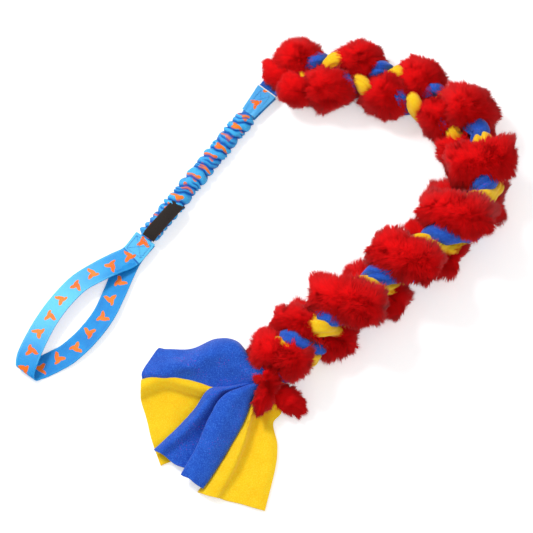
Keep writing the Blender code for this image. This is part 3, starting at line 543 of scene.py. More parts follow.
def add_world():
    """Pure white for the camera, a softer light for everything else."""
    world = bpy.data.worlds.new("studio")
    bpy.context.scene.world = world
    world.use_nodes = True
    tree = world.node_tree
    background = tree.nodes["Background"]
    background.inputs["Color"].default_value = (1.0, 1.0, 1.0, 1.0)
    rays = tree.nodes.new("ShaderNodeLightPath")
    mix = tree.nodes.new("ShaderNodeMix")
    mix.inputs[2].default_value = WORLD_LIGHT
    mix.inputs[3].default_value = 1.0
    tree.links.new(rays.outputs["Is Camera Ray"], mix.inputs[0])
    tree.links.new(mix.outputs[0], background.inputs["Strength"])


bpy.context.scene.view_settings.view_transform = "Standard"
add_camera()
add_world()
add_area_light("key", (-0.50, 0.45, 0.75), 2.4, 0.8, 33.0)
add_area_light("fill", (0.5, -0.5, 0.70), 2.6, 1.6, 7.0)


# The braid's route, as shares of LAY_SPAN: right, away from the viewer and up
ROUTE_SHARES = (
    (0.05, 0.418, 0.022), (0.076, 0.412, 0.032), (0.106, 0.408, 0.04), (0.143, 0.406, 0.044),
    (0.206, 0.393, 0.044), (0.261, 0.374, 0.044), (0.32, 0.344, 0.046), (0.37, 0.307, 0.05),
    (0.407, 0.267, 0.056), (0.43, 0.217, 0.06), (0.433, 0.167, 0.06), (0.415, 0.111, 0.06),
    (0.376, 0.067, 0.06), (0.32, 0.031, 0.06), (0.261, -0.011, 0.06), (0.202, -0.057, 0.06),
    (0.131, -0.117, 0.058), (0.063, -0.174, 0.054), (0.022, -0.203, 0.044), (-0.013, -0.233, 0.031),
)
# Where the blue strand comes round to an edge, as shares of the braid's length
BLUE_LOBES = (0.054, 0.1645, 0.2635, 0.360, 0.4625, 0.5955, 0.7255, 0.848, 0.922, 0.995)
# The braid rolls from lying flat on to its edge, and a little more at its end
ROLL, ROLL_ANGLE = (0.26, 0.44), math.radians(105.0)
LAST_ROLL, LAST_ROLL_ANGLE = (0.87, 0.05), math.radians(38.0)
TIE = np.array([-0.013 * LAY_SPAN, -0.233 * LAY_SPAN, 0.0]) + SHIFT * (1, 1, 0)
SWING, LIFT = 0.014, 0.012
# Where the braid stands on edge its strands lie round each other as in a rope
ROPE_LIFT = -0.80
GATHER_LENGTH, GATHER_SHARE = 0.032, 0.6


class Route:
    """The line of the braid, by how far along it a place is."""

    def __init__(self):
        self.line = smooth_line(np.array(ROUTE_SHARES) * LAY_SPAN + SHIFT * (1, 1, 0), 8)
        self.reach = reach_along(self.line)
        self.length = self.reach[-1]

    def place(self, along):
        along = np.clip(along, 0.0, self.length)
        return np.stack([np.interp(along, self.reach, self.line[:, axis]) for axis in range(3)], -1)

    def frame(self, along):
        """The way ahead, across the braid's width and through its thickness."""
        probe = self.length / len(self.line)
        ahead = unit(self.place(along + probe) - self.place(along - probe))
        left = unit(np.cross(UP, ahead))
        ends = smoothstep((np.asarray(along) / self.length - LAST_ROLL[0]) / LAST_ROLL[1])
        roll = (ROLL_ANGLE * np.asarray(self.on_edge(along)) + LAST_ROLL_ANGLE * ends)[..., None]
        width = left * np.cos(roll) + np.cross(ahead, left) * np.sin(roll)
        return ahead, width, np.cross(ahead, width)

    def on_edge(self, along):
        """0 where the braid lies flat, 1 where it stands on its edge."""
        return smoothstep((np.asarray(along) / self.length - ROLL[0]) / (ROLL[1] - ROLL[0]))

    def turn(self, along):
        """How far round the blue strand is, as a number of turns."""
        share = np.asarray(along, float) / self.length
        lobes = np.array(BLUE_LOBES)
        number = np.clip(np.searchsorted(lobes, share, side="left") - 1, 0, len(lobes) - 2)
        return number + (share - lobes[number]) / (lobes[number + 1] - lobes[number])

    def along_at(self, turn):
        number = min(max(math.floor(turn), 0), len(BLUE_LOBES) - 2)
        share = BLUE_LOBES[number] + (turn - number) * (BLUE_LOBES[number + 1] - BLUE_LOBES[number])
        return share * self.length

    def gather(self, along):
        near = np.minimum(along, self.length - np.asarray(along)) / GATHER_LENGTH
        return GATHER_SHARE + (1 - GATHER_SHARE) * smoothstep(near)

    def strand(self, along, follows):
        """Centre of a strand, with how full it is there: 1 where it comes round to an edge."""
        angle = FULL_TURN * (self.turn(along) - follows) + math.pi / 2
        gather = self.gather(along)
        _, width, thick = self.frame(along)
        edge = self.on_edge(along)
        rise = (1 - edge) * np.sin(2 * angle) + ROPE_LIFT * edge * np.cos(angle)
        aside = (SWING * gather * np.sin(angle))[..., None]
        lift = (LIFT * gather * rise)[..., None]
        return self.place(along) + width * aside + thick * lift, np.abs(np.sin(angle))


route = Route()


# Fleece strands
FLEECE_LOBE, FLEECE_LOBE_FLAT, FLEECE_TIGHT = 0.0126, 0.0090, 0.0064
YELLOW_FOLLOWS = 0.30
STRAND_START, STRAND_SIDES, RINGS_PER_TURN = 0.001, 40, 44
CREASES, CREASE_WIDTH, CREASE_DEPTH, FOLD_HEIGHT = 5, 0.17, 0.17, 0.035
LINK_RADIUS, LINK_REACH, LINK_CORNER = 0.0032, 0.0135, 0.004


def fleece_radius(along, fullness):
    lobe = FLEECE_LOBE_FLAT + (FLEECE_LOBE - FLEECE_LOBE_FLAT) * route.on_edge(along)
    return FLEECE_TIGHT + (lobe - FLEECE_TIGHT) * fullness**1.7 * route.gather(along) ** 1.5


def add_fleece_strand(name, follows, material, node, seed):
    """A rolled-up strip: long creases run along it and turn slowly round it."""
    count = int(float(route.turn(route.length) - route.turn(0.0)) * RINGS_PER_TURN)
    along = np.linspace(STRAND_START, route.length - STRAND_START, count)
    centre, fullness = route.strand(along, follows)
    radius = fleece_radius(along, fullness)
    ahead = unit(np.gradient(centre, axis=0))
    width = route.frame(along)[1]
    side = unit(width - ahead * np.sum(width * ahead, axis=1, keepdims=True))
    angle = full_circle(STRAND_SIDES)
    turn = route.turn(along)
    bulge = np.ones((count, STRAND_SIDES))
    for number in range(CREASES):
        crease = FULL_TURN * number / CREASES + 0.9 * seed + 1.7 * math.sin(number * 5.1 + seed)
        drift = crease + 1.1 * np.sin(math.pi * turn + number + seed)
        gap = np.angle(np.exp(1j * (angle[None, :] - drift[:, None])))
        deep = CREASE_DEPTH + 0.06 * np.sin(number * 3.3 + turn * 2.1)
        bulge -= deep[:, None] * np.exp(-((gap / CREASE_WIDTH) ** 2))
        bulge += FOLD_HEIGHT * np.exp(-(((np.abs(gap) - 0.45) / 0.25) ** 2))
    ring = rings(side, np.cross(ahead, side), angle)
    grid = centre[:, None] + ring * (bulge * radius[:, None])[..., None]
    grid += ring * (0.0006 * grain(grid, 0.006, seed))[..., None]
    ease = np.linspace(0, 1, count)
    closing = np.minimum(1.0, np.minimum(ease, 1 - ease) * count / 3 + 0.35)[:, None, None]
    grid = centre[:, None] + (grid - centre[:, None]) * closing
    finish_piece(grid_object(name, grid, wrap=True, caps=True), material, "braid", node)


def link_points():
    """The bight of the strips through the webbing eye: a loop with round corners."""
    half = CONNECTOR_HALF + CONNECTOR_THICK + LINK_RADIUS - LINK_CORNER
    back = LINK_CORNER - LINK_REACH
    corners = ((-LINK_CORNER, half), (back, half), (back, -half), (-LINK_CORNER, -half))
    points = []
    for quarter, (along, across) in enumerate(corners):
        for step in range(6):
            angle = math.pi / 2 * (quarter + step / 5)
            spot = along + LINK_CORNER * math.cos(angle), across + LINK_CORNER * math.sin(angle)
            points.append(on_bungee(*spot, 0.0))
    return points


add_fleece_strand("blue_strip", 0.0, BLUE_FLEECE, "blue_fleece_strand", 1.3)
link = tube("blue_strip_fold", link_points(), LINK_RADIUS, 16, closed=True)
finish_piece(link, BLUE_FLEECE, "braid")
add_fleece_strand(
    "yellow_strip", YELLOW_FOLLOWS, YELLOW_FLEECE, "yellow_fleece_strand", 2.9
)


# Fur
TINT_STEPS = 32
ROOT_TIP = np.array([0.0, 0.0, 0.0, 1.0])


class Pile:
    """Thin three-sided hairs, gathered into one mesh with how near the tip each point is."""

    def __init__(self):
        self.rows = []

    def add(self, root, tip, out, wide, tint):
        """Hairs from root to tip; out is the way that the pile faces there."""
        step = np.clip(np.round(tint * (TINT_STEPS - 1)), 0, TINT_STEPS - 1)
        self.rows.append(np.column_stack([root, tip, out, np.broadcast_to(wide, len(root)), step]))

    def build(self, name):
        rows = np.concatenate(self.rows)
        root, tip, out, wide, step = np.split(rows, (3, 6, 9, 10), axis=1)
        count = len(rows)
        ahead = unit(tip - root)
        helper = np.where(np.abs(ahead[:, 2:]) > 0.8, np.array([1.0, 0, 0]), UP)
        side = unit(np.cross(ahead, helper))
        top = np.cross(ahead, side)
        spin = random.uniform(0, FULL_TURN, count)[:, None]
        verts, normals = [], []
        for corner in range(3):
            angle = spin + FULL_TURN * corner / 3
            offset = side * np.cos(angle) + top * np.sin(angle)
            verts.append(root + offset * wide)
            normals.append(unit(out + 0.45 * offset))
        verts = np.stack(verts + [tip], 1).reshape(-1, 3)
        normals = np.stack(normals + [unit(out + 0.3 * ahead)], 1).reshape(-1, 3)
        faces = 4 * np.arange(count)[:, None] + np.array([0, 1, 3, 1, 2, 3, 2, 0, 3])
        obj = face_object(name, verts, faces.reshape(-1, 3))
        mesh = obj.data
        add_values(mesh, "tip", np.tile(ROOT_TIP, count))
        add_values(mesh, "tint", np.repeat(step / (TINT_STEPS - 1), 4))
        # Hairs of one tint share one upright cell of this UV map, from root to tip
        layer = mesh.uv_layers.new(name="OFBake")
        right = (step + np.tile([0.1, 0.9, 0.5], 3)) / TINT_STEPS
        high = np.broadcast_to(np.tile([0.02, 0.02, 0.98], 3), right.shape)
        layer.data.foreach_set("uv", np.stack([right, high], -1).ravel().astype(np.float32))
        mesh.normals_split_custom_set_from_vertices(normals)
        mesh.materials.append(FUR)
        return obj


def even_directions(count):
    """Directions spread evenly over a sphere, a little shaken."""
    number = np.arange(count) + 0.5
    polar = np.arccos(1 - 2 * number / count)
    turn = math.pi * (1 + 5**0.5) * number
    spread = np.stack([np.sin(polar) * np.cos(turn), np.sin(polar) * np.sin(turn), np.cos(polar)], -1)
    return unit(spread + random.normal(0, 0.015, spread.shape))


def locks(points, scale, seed):
    """A smooth random vector for every point, which draws hairs together into locks."""
    return np.stack([grain(points, scale, seed + shift) for shift in (0.0, 31.0, 67.0)], -1)


fleece_along = np.linspace(STRAND_START, route.length - STRAND_START, 260)
fleece_paths = []
for follows in (0.0, YELLOW_FOLLOWS):
    path, fullness = route.strand(fleece_along, follows)
    fleece_paths.append((path, fleece_radius(fleece_along, fullness)))


def depth_in_fleece(points):
    """How far each point is inside the nearest fleece strand (negative outside)."""
    best = np.full(len(points), -1.0)
    for path, thickness in fleece_paths:
        gap = np.linalg.norm(points[:, None] - path[None], axis=2) - thickness[None]
        best = np.maximum(best, -gap.min(1))
    return best


# Half sizes of a lump where the braid lies flat and on its edge: along it, outwards, and across it
LUMP_FLAT, LUMP_ON_EDGE = np.array([0.0268, 0.0250, 0.0275]), np.array([0.0238, 0.0225, 0.0405])
LUMP_OFFSET_FLAT, LUMP_OFFSET_ON_EDGE, LUMP_FOLLOWS = 0.0180, 0.0200, 2 / 3 - 0.08
# Lumps on the edge are turned from this one on, and their ends fan out
YAW_FROM, LUMP_YAW, BOW = 8, math.radians(-28.0), 0.27
LAST_TURN = 8.2
HAIRS_PER_LUMP = 7600
STRAND_HAIRS = 9000
HAIR_LENGTH, HAIR_WIDTH, HAIR_OUT, STREAM, TAIL_STREAM = 0.0075, 0.00105, 0.0022, 0.0022, 0.0042
BACKING_DEPTH = 0.0062
GROUND = 0.0007


def lump_places():
    """Where the strip fluffs out: places along the braid and sides."""
    first = math.ceil(2 * (float(route.turn(0.0)) - LUMP_FOLLOWS))
    last = math.floor(2 * (LAST_TURN - LUMP_FOLLOWS))
    return [
        (route.along_at(LUMP_FOLLOWS + half_turn / 2), 1 if half_turn % 2 == 0 else -1)
        for half_turn in range(first, last + 1)
    ]


# How far single lumps are pushed aside by their neighbours, in millimetres, and their size against a
# full lump, by their number along the braid
PUSHED = {
    3: ((5, 4, 0), 0.93), 5: ((14, 3, 0), 1.0), 8: ((-2, -2, 0), 0.95), 9: ((-27, -2, -2), 0.95),
    10: ((-8, 0, 0), 1.0), 11: ((-9, 9, -2), 0.95), 12: ((1, -3, 0), 0.95), 13: ((-5, 4, -2), 0.95),
    14: ((-1, -4, 0), 0.95), 15: ((-12, 5, -2), 1.0), 16: ((-9, 11, -11), 0.62), 17: ((-24, 9, 1), 0.95),
}


def add_hairs(pile, root, tip, out, tint):
    """Leaves out hairs that would end in the fleece or under the ground."""
    keep = (root[:, 2] > -0.004) & (tip[:, 2] > -0.004)
    keep &= (depth_in_fleece(tip) < 0.0012) & (depth_in_fleece(0.3 * root + 0.7 * tip) < 0.0020)
    root, tip = root.copy(), tip.copy()
    root[:, 2] = np.maximum(root[:, 2], GROUND + 0.001)
    tip[:, 2] = np.maximum(tip[:, 2], GROUND)
    pile.add(root[keep], tip[keep], out[keep], HAIR_WIDTH, np.clip(tint[keep], 0, 1))


def add_lump(pile, core, along, side, number):
    """One lump of the strip, on one side of the braid."""
    ahead, width, thick = route.frame(along)
    edge = float(route.on_edge(along))
    offset = LUMP_OFFSET_FLAT + (LUMP_OFFSET_ON_EDGE - LUMP_OFFSET_FLAT) * edge
    pushed, full = PUSHED.get(number, ((0, 0, 0), 1.0))
    centre = route.place(along) + width * offset * float(route.gather(along)) * side
    centre = centre + np.array(pushed) * MILLIMETRE
    size = (LUMP_FLAT + (LUMP_ON_EDGE - LUMP_FLAT) * edge) * full * (1.0 + 0.05 * math.sin(number * 2.3))
    yaw = LUMP_YAW * edge * float(smoothstep((number - YAW_FROM) / 2))
    turned = ahead * math.cos(yaw) + thick * math.sin(yaw)
    axes = np.stack([turned, width, np.cross(turned, width)])
    add_ball(pile, core, centre, axes, size, number, BOW * edge)


def add_ball(pile, core, centre, axes, size, number, bow=0.0, combed=False):
    """A ball of pile: its hairs lean together into locks, with creases between where the hairs are shorter
    and painted shade darkens them.

    A bow fans out at both ends, where the fleece doesn't squeeze it. Combed hairs all lean ahead.
    """
    size = np.asarray(size)
    direction = even_directions(HAIRS_PER_LUMP)
    level = direction[:, 0] ** 2 + direction[:, 2] ** 2
    corner = 4 * (direction[:, 0] * direction[:, 2]) ** 2 / np.maximum(level, 1e-6)
    surface = (direction * size * (1 + bow * corner)[:, None]) @ axes
    normal = unit((direction / size) @ axes)
    spot = centre + surface
    relief = 0.17 * grain(spot, 0.019, number) + 0.05 * grain(spot, 0.008, 5.0 + number)
    crease = np.exp(-((grain(spot, 0.013, 9.0 + number) / 0.07) ** 2))
    lean = 0.0040 * locks(spot, 0.010, 3.0 + number) + 0.0016 * locks(spot, 0.0035, 7.0 + number)
    lean += axes[0] * ((direction[:, :1] + 1) * TAIL_STREAM if combed else direction[:, :1] * STREAM)
    rise = HAIR_OUT - 0.0030 * crease + random.normal(0, 0.0010, len(spot))
    rise += 0.0022 * grain(spot, 0.0034, 27.0)
    skin = centre + surface * (1 + relief)[:, None]
    tip = skin + normal * rise[:, None] + lean
    root = skin - normal * HAIR_LENGTH - 0.3 * lean
    # The tint drops in the creases between locks: painted shade
    tint = 0.62 + 0.35 * grain(spot, 0.006, 13.0) + 0.25 * grain(spot, 0.02, 21.0) - 0.55 * crease
    tint += 0.42 * grain(spot, 0.0032, 31.0)
    add_hairs(pile, root, tip, normal, tint + random.normal(0, 0.10, len(spot)))
    core.append((centre, axes, size - BACKING_DEPTH))


def add_strand_hairs(pile):
    """The pile of the red strip between its lumps."""
    along = random.uniform(0.004, route.length - 0.002, STRAND_HAIRS)
    centre, _ = route.strand(along, 2 / 3)
    out = even_directions(STRAND_HAIRS)[random.permutation(STRAND_HAIRS)]
    ahead = unit(route.frame(along)[0])
    out = unit(out - ahead * np.sum(out * ahead, axis=1, keepdims=True) * 0.8)
    lean = 0.002 * locks(centre + out * 0.01, 0.008, 41.0)
    tip = centre + out * (0.0115 + random.normal(0, 0.0006, STRAND_HAIRS))[:, None] + lean
    tint = 0.45 + 0.4 * grain(tip, 0.007, 17.0) + random.normal(0, 0.1, STRAND_HAIRS)
    add_hairs(pile, centre + out * 0.003, tip, out, tint)


def add_core(name, cores):
    """The backing under the pile, so that nothing shows through: one plain ball in each ball of pile."""
    levels, sides = 12, 20
    polar, turn = math.pi * np.arange(levels + 1)[:, None] / levels, full_circle(sides)
    ball = [np.sin(polar) * np.cos(turn), np.sin(polar) * np.sin(turn), np.cos(polar) + 0 * turn]
    ball = np.stack(ball, -1).reshape(-1, 3)
    verts = np.concatenate([centre + (ball * size) @ axes for centre, axes, size in cores])
    verts[:, 2] = np.maximum(verts[:, 2], 0.0008)
    faces = []
    for start in range(0, len(verts), len(ball)):
        for ring in range(start, start + levels * sides, sides):
            for step in range(sides):
                following = (step + 1) % sides
                faces.append((ring + step, ring + following, ring + sides + following, ring + sides + step))
    obj = face_object(name, verts.tolist(), faces)
    # The backing takes a colour near the pile's dark roots: painted shade under the hairs
    add_values(obj.data, "tip", 0.25)
    add_values(obj.data, "tint", 0.4)
    return obj


# Balls of pile in millimetres: centre, half sizes and number. The first two lie over the end of the
# braid and round the tie, the others hang over the fold of the strips through the webbing eye
TIE_BALLS = (((7, 30, 27), (23, 20, 30), 51.0), ((6, 3, 23), (12, 12, 13), 53.0))
EYE_BALLS = (((9.5, 1, 7), (14.5, 22.5, 13), 50.0), ((22.5, -16.5, 19), (18, 18.5, 15.5), 52.0))
FUR_PARTS = 4


def add_balls(pile, backings, centre, axes, balls):
    for core, (place, size, number) in zip(backings, balls):
        add_ball(pile, core, centre + np.array(place) * MILLIMETRE, axes, np.array(size) * MILLIMETRE, number)


lumps = lump_places()
cores = []
for part in range(FUR_PARTS):
    pile = Pile()
    for number in range(len(lumps)):
        if number * FUR_PARTS // len(lumps) == part:
            add_lump(pile, cores, *lumps[number], number)
    if part == FUR_PARTS - 1:
        add_balls(pile, (cores, cores), TIE, np.stack(route.frame(0.93 * route.length)), TIE_BALLS)
        add_strand_hairs(pile)
    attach(pile.build(f"red_pile_{part + 1}"), "braid")


# The pile over the eye: the first ball, in the eye, has no backing
pile = Pile()
add_balls(pile, ([], cores), BAR, np.stack([-AHEAD, ASIDE, UP]), EYE_BALLS)
bend_piece(pile.build("red_pile_eye"))


# Fur tails
# Each tuft: its first and last point in millimetres from the ground under the tie, and its half sizes
FUR_TAILS = {
    "fur_tail_left": ((9, -5, 21), (1, -26, 20), (19, 11.5, 9.5)),
    "fur_tail_right": ((8, -9, 13), (36, -27, 10), (22, 12, 9)),
}


def add_fur_tail(name, first, last, size, seed):
    """A short end of the fur strip."""
    first, last, size = (np.array(values) * MILLIMETRE for values in (first, last, size))
    ahead = unit(last - first)
    side = unit(np.cross(UP, ahead))
    pile = Pile()
    axes = np.stack([ahead, side, np.cross(ahead, side)])
    add_ball(pile, cores, TIE + (first + last) / 2, axes, size, seed, combed=True)
    piece = pile.build(name.replace("fur_tail", "red_tuft"))
    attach(piece, "braid")
    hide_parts(name)


for seed, (name, (first, last, size)) in enumerate(FUR_TAILS.items()):
    add_fur_tail(name, first, last, size, 60.0 + seed)
finish_piece(add_core("red_pile_backing", cores), FUR, "braid", "red_fur_strand")


# Fleece tails
# Lines along each tail, side by side round its folds: six points each, in millimetres from the ground
# under the tie
TAIL_LINES = {
    "blue_tail_upper": (
        (-3.1, -3.9, 20, -23.5, -6.6, 15, -50.2, -7.8, 12, -82.3, -3, 11.5, -106.9, 0.5, 11, -126.2, 0.5, 8),
        (-4.2, -1.9, 24, -25.6, -0.1, 19, -53.4, -0.1, 16, -83.4, 4.2, 16.5,
         -106.9, 4.8, 18, -127.3, 6.8, 12.5),
        (-5.3, 1.9, 26, -27.8, 9.1, 25, -54.5, 11, 23, -82.3, 11.4, 25, -104.8, 17.1, 15.5, -124.1, 14.6, 10),
        (-6.4, 5.3, 26, -27.8, 21, 30, -53.4, 22.7, 31.5, -79.1, 22.7, 19,
         -102.7, 27.7, 11.5, -119.8, 22.5, 7),
        (-7.4, 9.5, 24, -25.6, 31.6, 32, -48.1, 38.7, 25, -74.8, 32.7, 13.5, -99.4, 34.3, 9, -113.4, 33.1, 6),
        (-7.4, 11.3, 19, -24.5, 38.3, 20, -48.1, 44.2, 13, -74.8, 34.7, 8, -98.4, 35.8, 5, -109.1, 38.4, 4),
        (-6.4, 10.1, 13, -25.6, 33.5, 8, -50.2, 36.9, 5, -77, 30.6, 3.5, -96.2, 31.9, 3, -106.9, 35.3, 3),
    ),
    "yellow_tail_left": (
        (-5.3, -1.1, 3, -32, -4.1, 2, -57.7, -1.9, 2, -82.3, 5, 2, -105.9, 9.5, 2, -124.1, 2.7, 2),
        (-5.3, -1.4, 7, -29.9, -4.2, 8.5, -55.6, -3.6, 10, -81.3, 2.6, 11.5,
         -105.9, 9.3, 12, -127.3, -0.2, 10),
        (-6.4, -3.3, 9, -29.9, -9.3, 10, -53.4, -11.2, 12, -80.2, -5.3, 14.5,
         -104.8, 1.4, 15, -128.3, -8.1, 13),
        (-6.4, -3.3, 6, -29.9, -15.1, 7, -53.4, -17.4, 7, -77, -12.2, 8.5,
         -103.7, -5.9, 10, -128.3, -15.8, 9),
        (-7.4, -3.7, 4, -29.9, -20.6, 3.5, -53.4, -23.7, 2.6, -74.8, -19.1, 2.4,
         -101.6, -12.6, 3.4, -127.3, -23.1, 4),
        (-7.4, -4.5, 3, -34.2, -29.4, 2.6, -57.7, -40.7, 2.2, -77, -40.6, 2,
         -98.4, -36, 2, -121.9, -40.7, 2.2),
        (-8.5, -5.5, 2.5, -36.3, -36.2, 2.5, -59.9, -54.6, 3, -79.1, -63.9, 3.4,
         -97.3, -66.2, 3.6, -116.6, -63.8, 3.2),
        (-9.6, -6.4, 2, -38.5, -42.9, 2, -62, -67.8, 1.8, -79.1, -79.2, 1.8,
         -94.1, -86, 1.6, -106.9, -91.6, 1.5),
    ),
    "blue_tail_lower": (
        (-4.2, -1.7, 14, -34.2, -7, 13, -55.6, -11.2, 12, -70.6, -32.7, 11.5,
         -90.9, -54.9, 10, -113.4, -76.9, 8),
        (-4.2, -2.8, 17, -29.9, -10.2, 18.5, -49.2, -17.2, 19, -64.1, -37.5, 18.5,
         -84.5, -60.7, 16.5, -108, -81, 13),
        (-3.1, -3.5, 16, -25.6, -10.4, 16, -42.7, -16.5, 14, -56.6, -38.5, 12,
         -77, -62.9, 10, -101.6, -83.9, 8.5),
        (-3.1, -4, 14, -21.3, -11.2, 12, -36.3, -16.8, 8.5, -49.2, -39.1, 7.2,
         -67.3, -68.4, 6.6, -90.9, -92.4, 6.6),
        (-2.1, -4, 14, -17.1, -11.2, 12, -28.8, -18.1, 9, -37.4, -38.2, 8,
         -52.4, -67.5, 7, -74.8, -98.1, 6.6),
        (-2.1, -3.5, 16, -22.4, -12.3, 15, -35.2, -19.9, 14, -48.1, -40, 13,
         -60.9, -70.2, 11.5, -81.3, -102.5, 9.5),
        (-2.1, -4.6, 19, -23.5, -11.8, 20, -39.5, -20.2, 21, -53.4, -40.5, 20.5,
         -66.3, -72.6, 18, -84.5, -106.1, 13),
        (-1, -5.4, 21, -16, -12.6, 22, -27.8, -22, 23, -41.7, -44.6, 22.5, -55.6, -76.7, 20, -77, -110, 14.5),
        (0.1, -6.5, 21, -10.6, -13.2, 20.5, -20.3, -24.4, 20, -33.1, -49, 19,
         -49.2, -81.3, 17, -70.6, -115.2, 13),
        (1.1, -6.9, 19, -6.4, -14.2, 17, -13.8, -27.1, 15, -24.5, -51.8, 14,
         -42.7, -84.1, 12, -64.1, -118.5, 9.5),
        (1.1, -6.6, 15, -6.4, -13.5, 12, -12.8, -27.6, 10, -23.5, -53.4, 9,
         -41.7, -86, 8, -63.1, -118.5, 6.6),
    ),
    "yellow_tail_right": (
        (-3.1, -6.8, 3, -13.8, -25, 3, -23.5, -47.8, 3, -38.5, -77.4, 3,
         -53.4, -102.3, 2.5, -67.3, -121.4, 2),
        (-2.1, -7.1, 7, -11.7, -24.5, 8, -20.3, -48.6, 8.5, -34.2, -79.2, 8,
         -49.2, -103.9, 7, -63.1, -123.7, 5),
        (-1, -8.2, 10, -9.6, -23.4, 11, -16, -47.5, 11.5, -26.7, -78, 11,
         -42.7, -107.1, 9.5, -56.6, -126.7, 7),
        (0.1, -7.4, 11, -5.3, -22, 13.5, -12.8, -44.6, 13, -20.3, -71.6, 12,
         -33.1, -102.7, 10, -48.1, -128.9, 7),
        (1.1, -7.4, 11, -1, -20.5, 12.5, -9.6, -42.4, 7, -17.1, -71.6, 6,
         -29.9, -103.2, 5, -43.8, -128.8, 3.5),
        (2.2, -7.4, 11, 3.3, -20.5, 12.5, -5.3, -41.1, 3.4, -11.7, -72.6, 2.4,
         -23.5, -104.4, 2.2, -37.4, -130.5, 2),
        (3.3, -8.6, 11, 7.6, -23.1, 13.5, 1.1, -40, 3.4, -2.1, -71.6, 2.8,
         -8.5, -104.9, 3.4, -22.4, -134.2, 2.6),
        (4.3, -8.2, 10, 14, -26.4, 13, 7.6, -41.9, 5.5, 8.6, -71.1, 4.4, 5.4, -105.1, 4, -8.5, -138.7, 2.6),
        (5.4, -9.4, 7, 20.4, -32.2, 7, 11.8, -45.6, 3.4, 16.1, -69.3, 2.6, 14, -95.4, 2.5, 3.3, -141.8, 1.6),
    ),
}
FLEECE_THICK = 0.0022


def add_fleece_tail(name, seed):
    """One free end of a strip: cloth through its lines, which starts in the tie."""
    guides = np.reshape(TAIL_LINES[name], (-1, 6, 3))
    long_lines = np.array([smooth_line(line, 10) for line in guides])
    across = np.array([smooth_line(long_lines[:, row], 7) for row in range(long_lines.shape[1])])
    grid = TIE + across * MILLIMETRE
    normal = unit(np.cross(np.gradient(grid, axis=0), np.gradient(grid, axis=1)))
    fade = np.minimum(1.0, np.arange(len(grid)) / 10)[:, None]
    soft = (0.0007 * grain(grid, 0.020, seed) + 0.0003 * grain(grid, 0.008, seed)) * fade
    grid = grid + normal * soft[..., None]
    grid[..., 2] = np.maximum(grid[..., 2], FLEECE_THICK / 2 + 0.0001)
    colour = name.split("_")[0]
    obj = grid_object(name.replace("tail", "end"), grid)
    thicken(obj, FLEECE_THICK, 0.0007)
    finish_piece(obj, BLUE_FLEECE if colour == "blue" else YELLOW_FLEECE, name, name)


RESTS = {
    "yellow_tail_left": ["floor"],
    "yellow_tail_right": ["floor"],
    "blue_tail_lower": ["yellow_end_left"],
    "blue_tail_upper": ["yellow_end_left"],
}
for seed, (name, rests_on) in enumerate(RESTS.items()):
    add_fleece_tail(name, 5.0 * seed)


# Bungee
def sheet_shares(rows, columns):
    """How far along a sheet, from 0 to 1, and across it, from -1 to 1."""
    return np.linspace(0, 1, rows)[:, None], np.linspace(-1, 1, columns)[None, :]


def stretch_with_sleeve(obj):
    bend_piece(obj)


# Hem and connector
def add_connector():
    """Webbing that is folded round the strips and goes in under the hem."""
    layer, eye, flare = CONNECTOR_LAYER, CONNECTOR_EYE, math.pi / 4
    neck = eye * math.cos(flare) + (eye * math.sin(flare) - layer) / math.tan(flare)
    arc = np.linspace(flare, FULL_TURN - flare, 15)
    flat = (*CONNECTOR_SPOTS, neck)
    profile = [(along, layer) for along in flat]
    profile += [(eye * math.cos(angle), eye * math.sin(angle)) for angle in arc]
    profile += [(along, -layer) for along in flat[::-1]]
    line = smooth_line(profile, 3)
    across = np.linspace(-1, 1, 9)
    half = CONNECTOR_HALF - NARROWS_BY * smoothstep((line[:, :1] - NARROWS_FROM) / NARROWS_OVER)
    grid = on_bungee(line[:, :1], half * across, line[:, 1:])
    cloth = (reach_along(line) + 0.008, across * CONNECTOR_HALF)
    obj = grid_object("connector_band", grid, uv=cloth)
    thicken(obj, CONNECTOR_THICK, SOFT_EDGE)
    finish_piece(obj, CONNECTOR_BLUE, "connector", "connector_webbing")


add_connector()


def add_hem(name, side):
    """The flat hem: it narrows towards the gathers and ends in a raw cut edge."""
    share, across = sheet_shares(30, 16)
    half = (HEM_WIDE + (HEM_NARROW - HEM_WIDE) * share**0.9) / 2
    height = side * (HEM_HEIGHT + HEM_RISE * share**2 - HEM_DIP * across**2)
    pleat = HEM_PUCKER * np.sin(across * 9 + 2) * share**2
    grid = on_bungee(HEM_START + share * (SLEEVE_START - HEM_START), half * across, height + side * pleat)
    cloth = (share[:, 0] * 0.034 + 0.012, across[0] * 0.012)
    grid = grid if side > 0 else grid[:, ::-1]
    obj = grid_object(name.replace("sleeve_hem", "hem_cloth"), grid, uv=cloth)
    thicken(obj, HEM_THICK, SOFT_EDGE)
    finish_piece(obj, SATIN_HEM, "connector", name)


add_hem("sleeve_hem_top", 1)
add_hem("sleeve_hem_bottom", -1)
for side, name in ((1, "raw_edge_top"), (-1, "raw_edge_bottom")):
    spots = np.linspace(-1, 1, 24)
    line = on_bungee(HEM_START + 0.0002, spots * RAW_HALF, side * (RAW_HEIGHT - RAW_DIP * spots**2))
    edge = tube(name, line, RAW_RADIUS + RAW_FRAY * np.sin(spots * 31), 10)
    finish_piece(edge, CUT_EDGE, "connector")


# Gathered sleeve: the length of its cloth when it is smooth
SLEEVE_CLOTH = 0.27


def round_the_sleeve(columns):
    """The band's print runs round the sleeve twice: places across it, from one edge to the other."""
    return np.arange(columns + 1) / columns * 2 * STRAP_WIDTH % STRAP_WIDTH - STRAP_WIDTH / 2


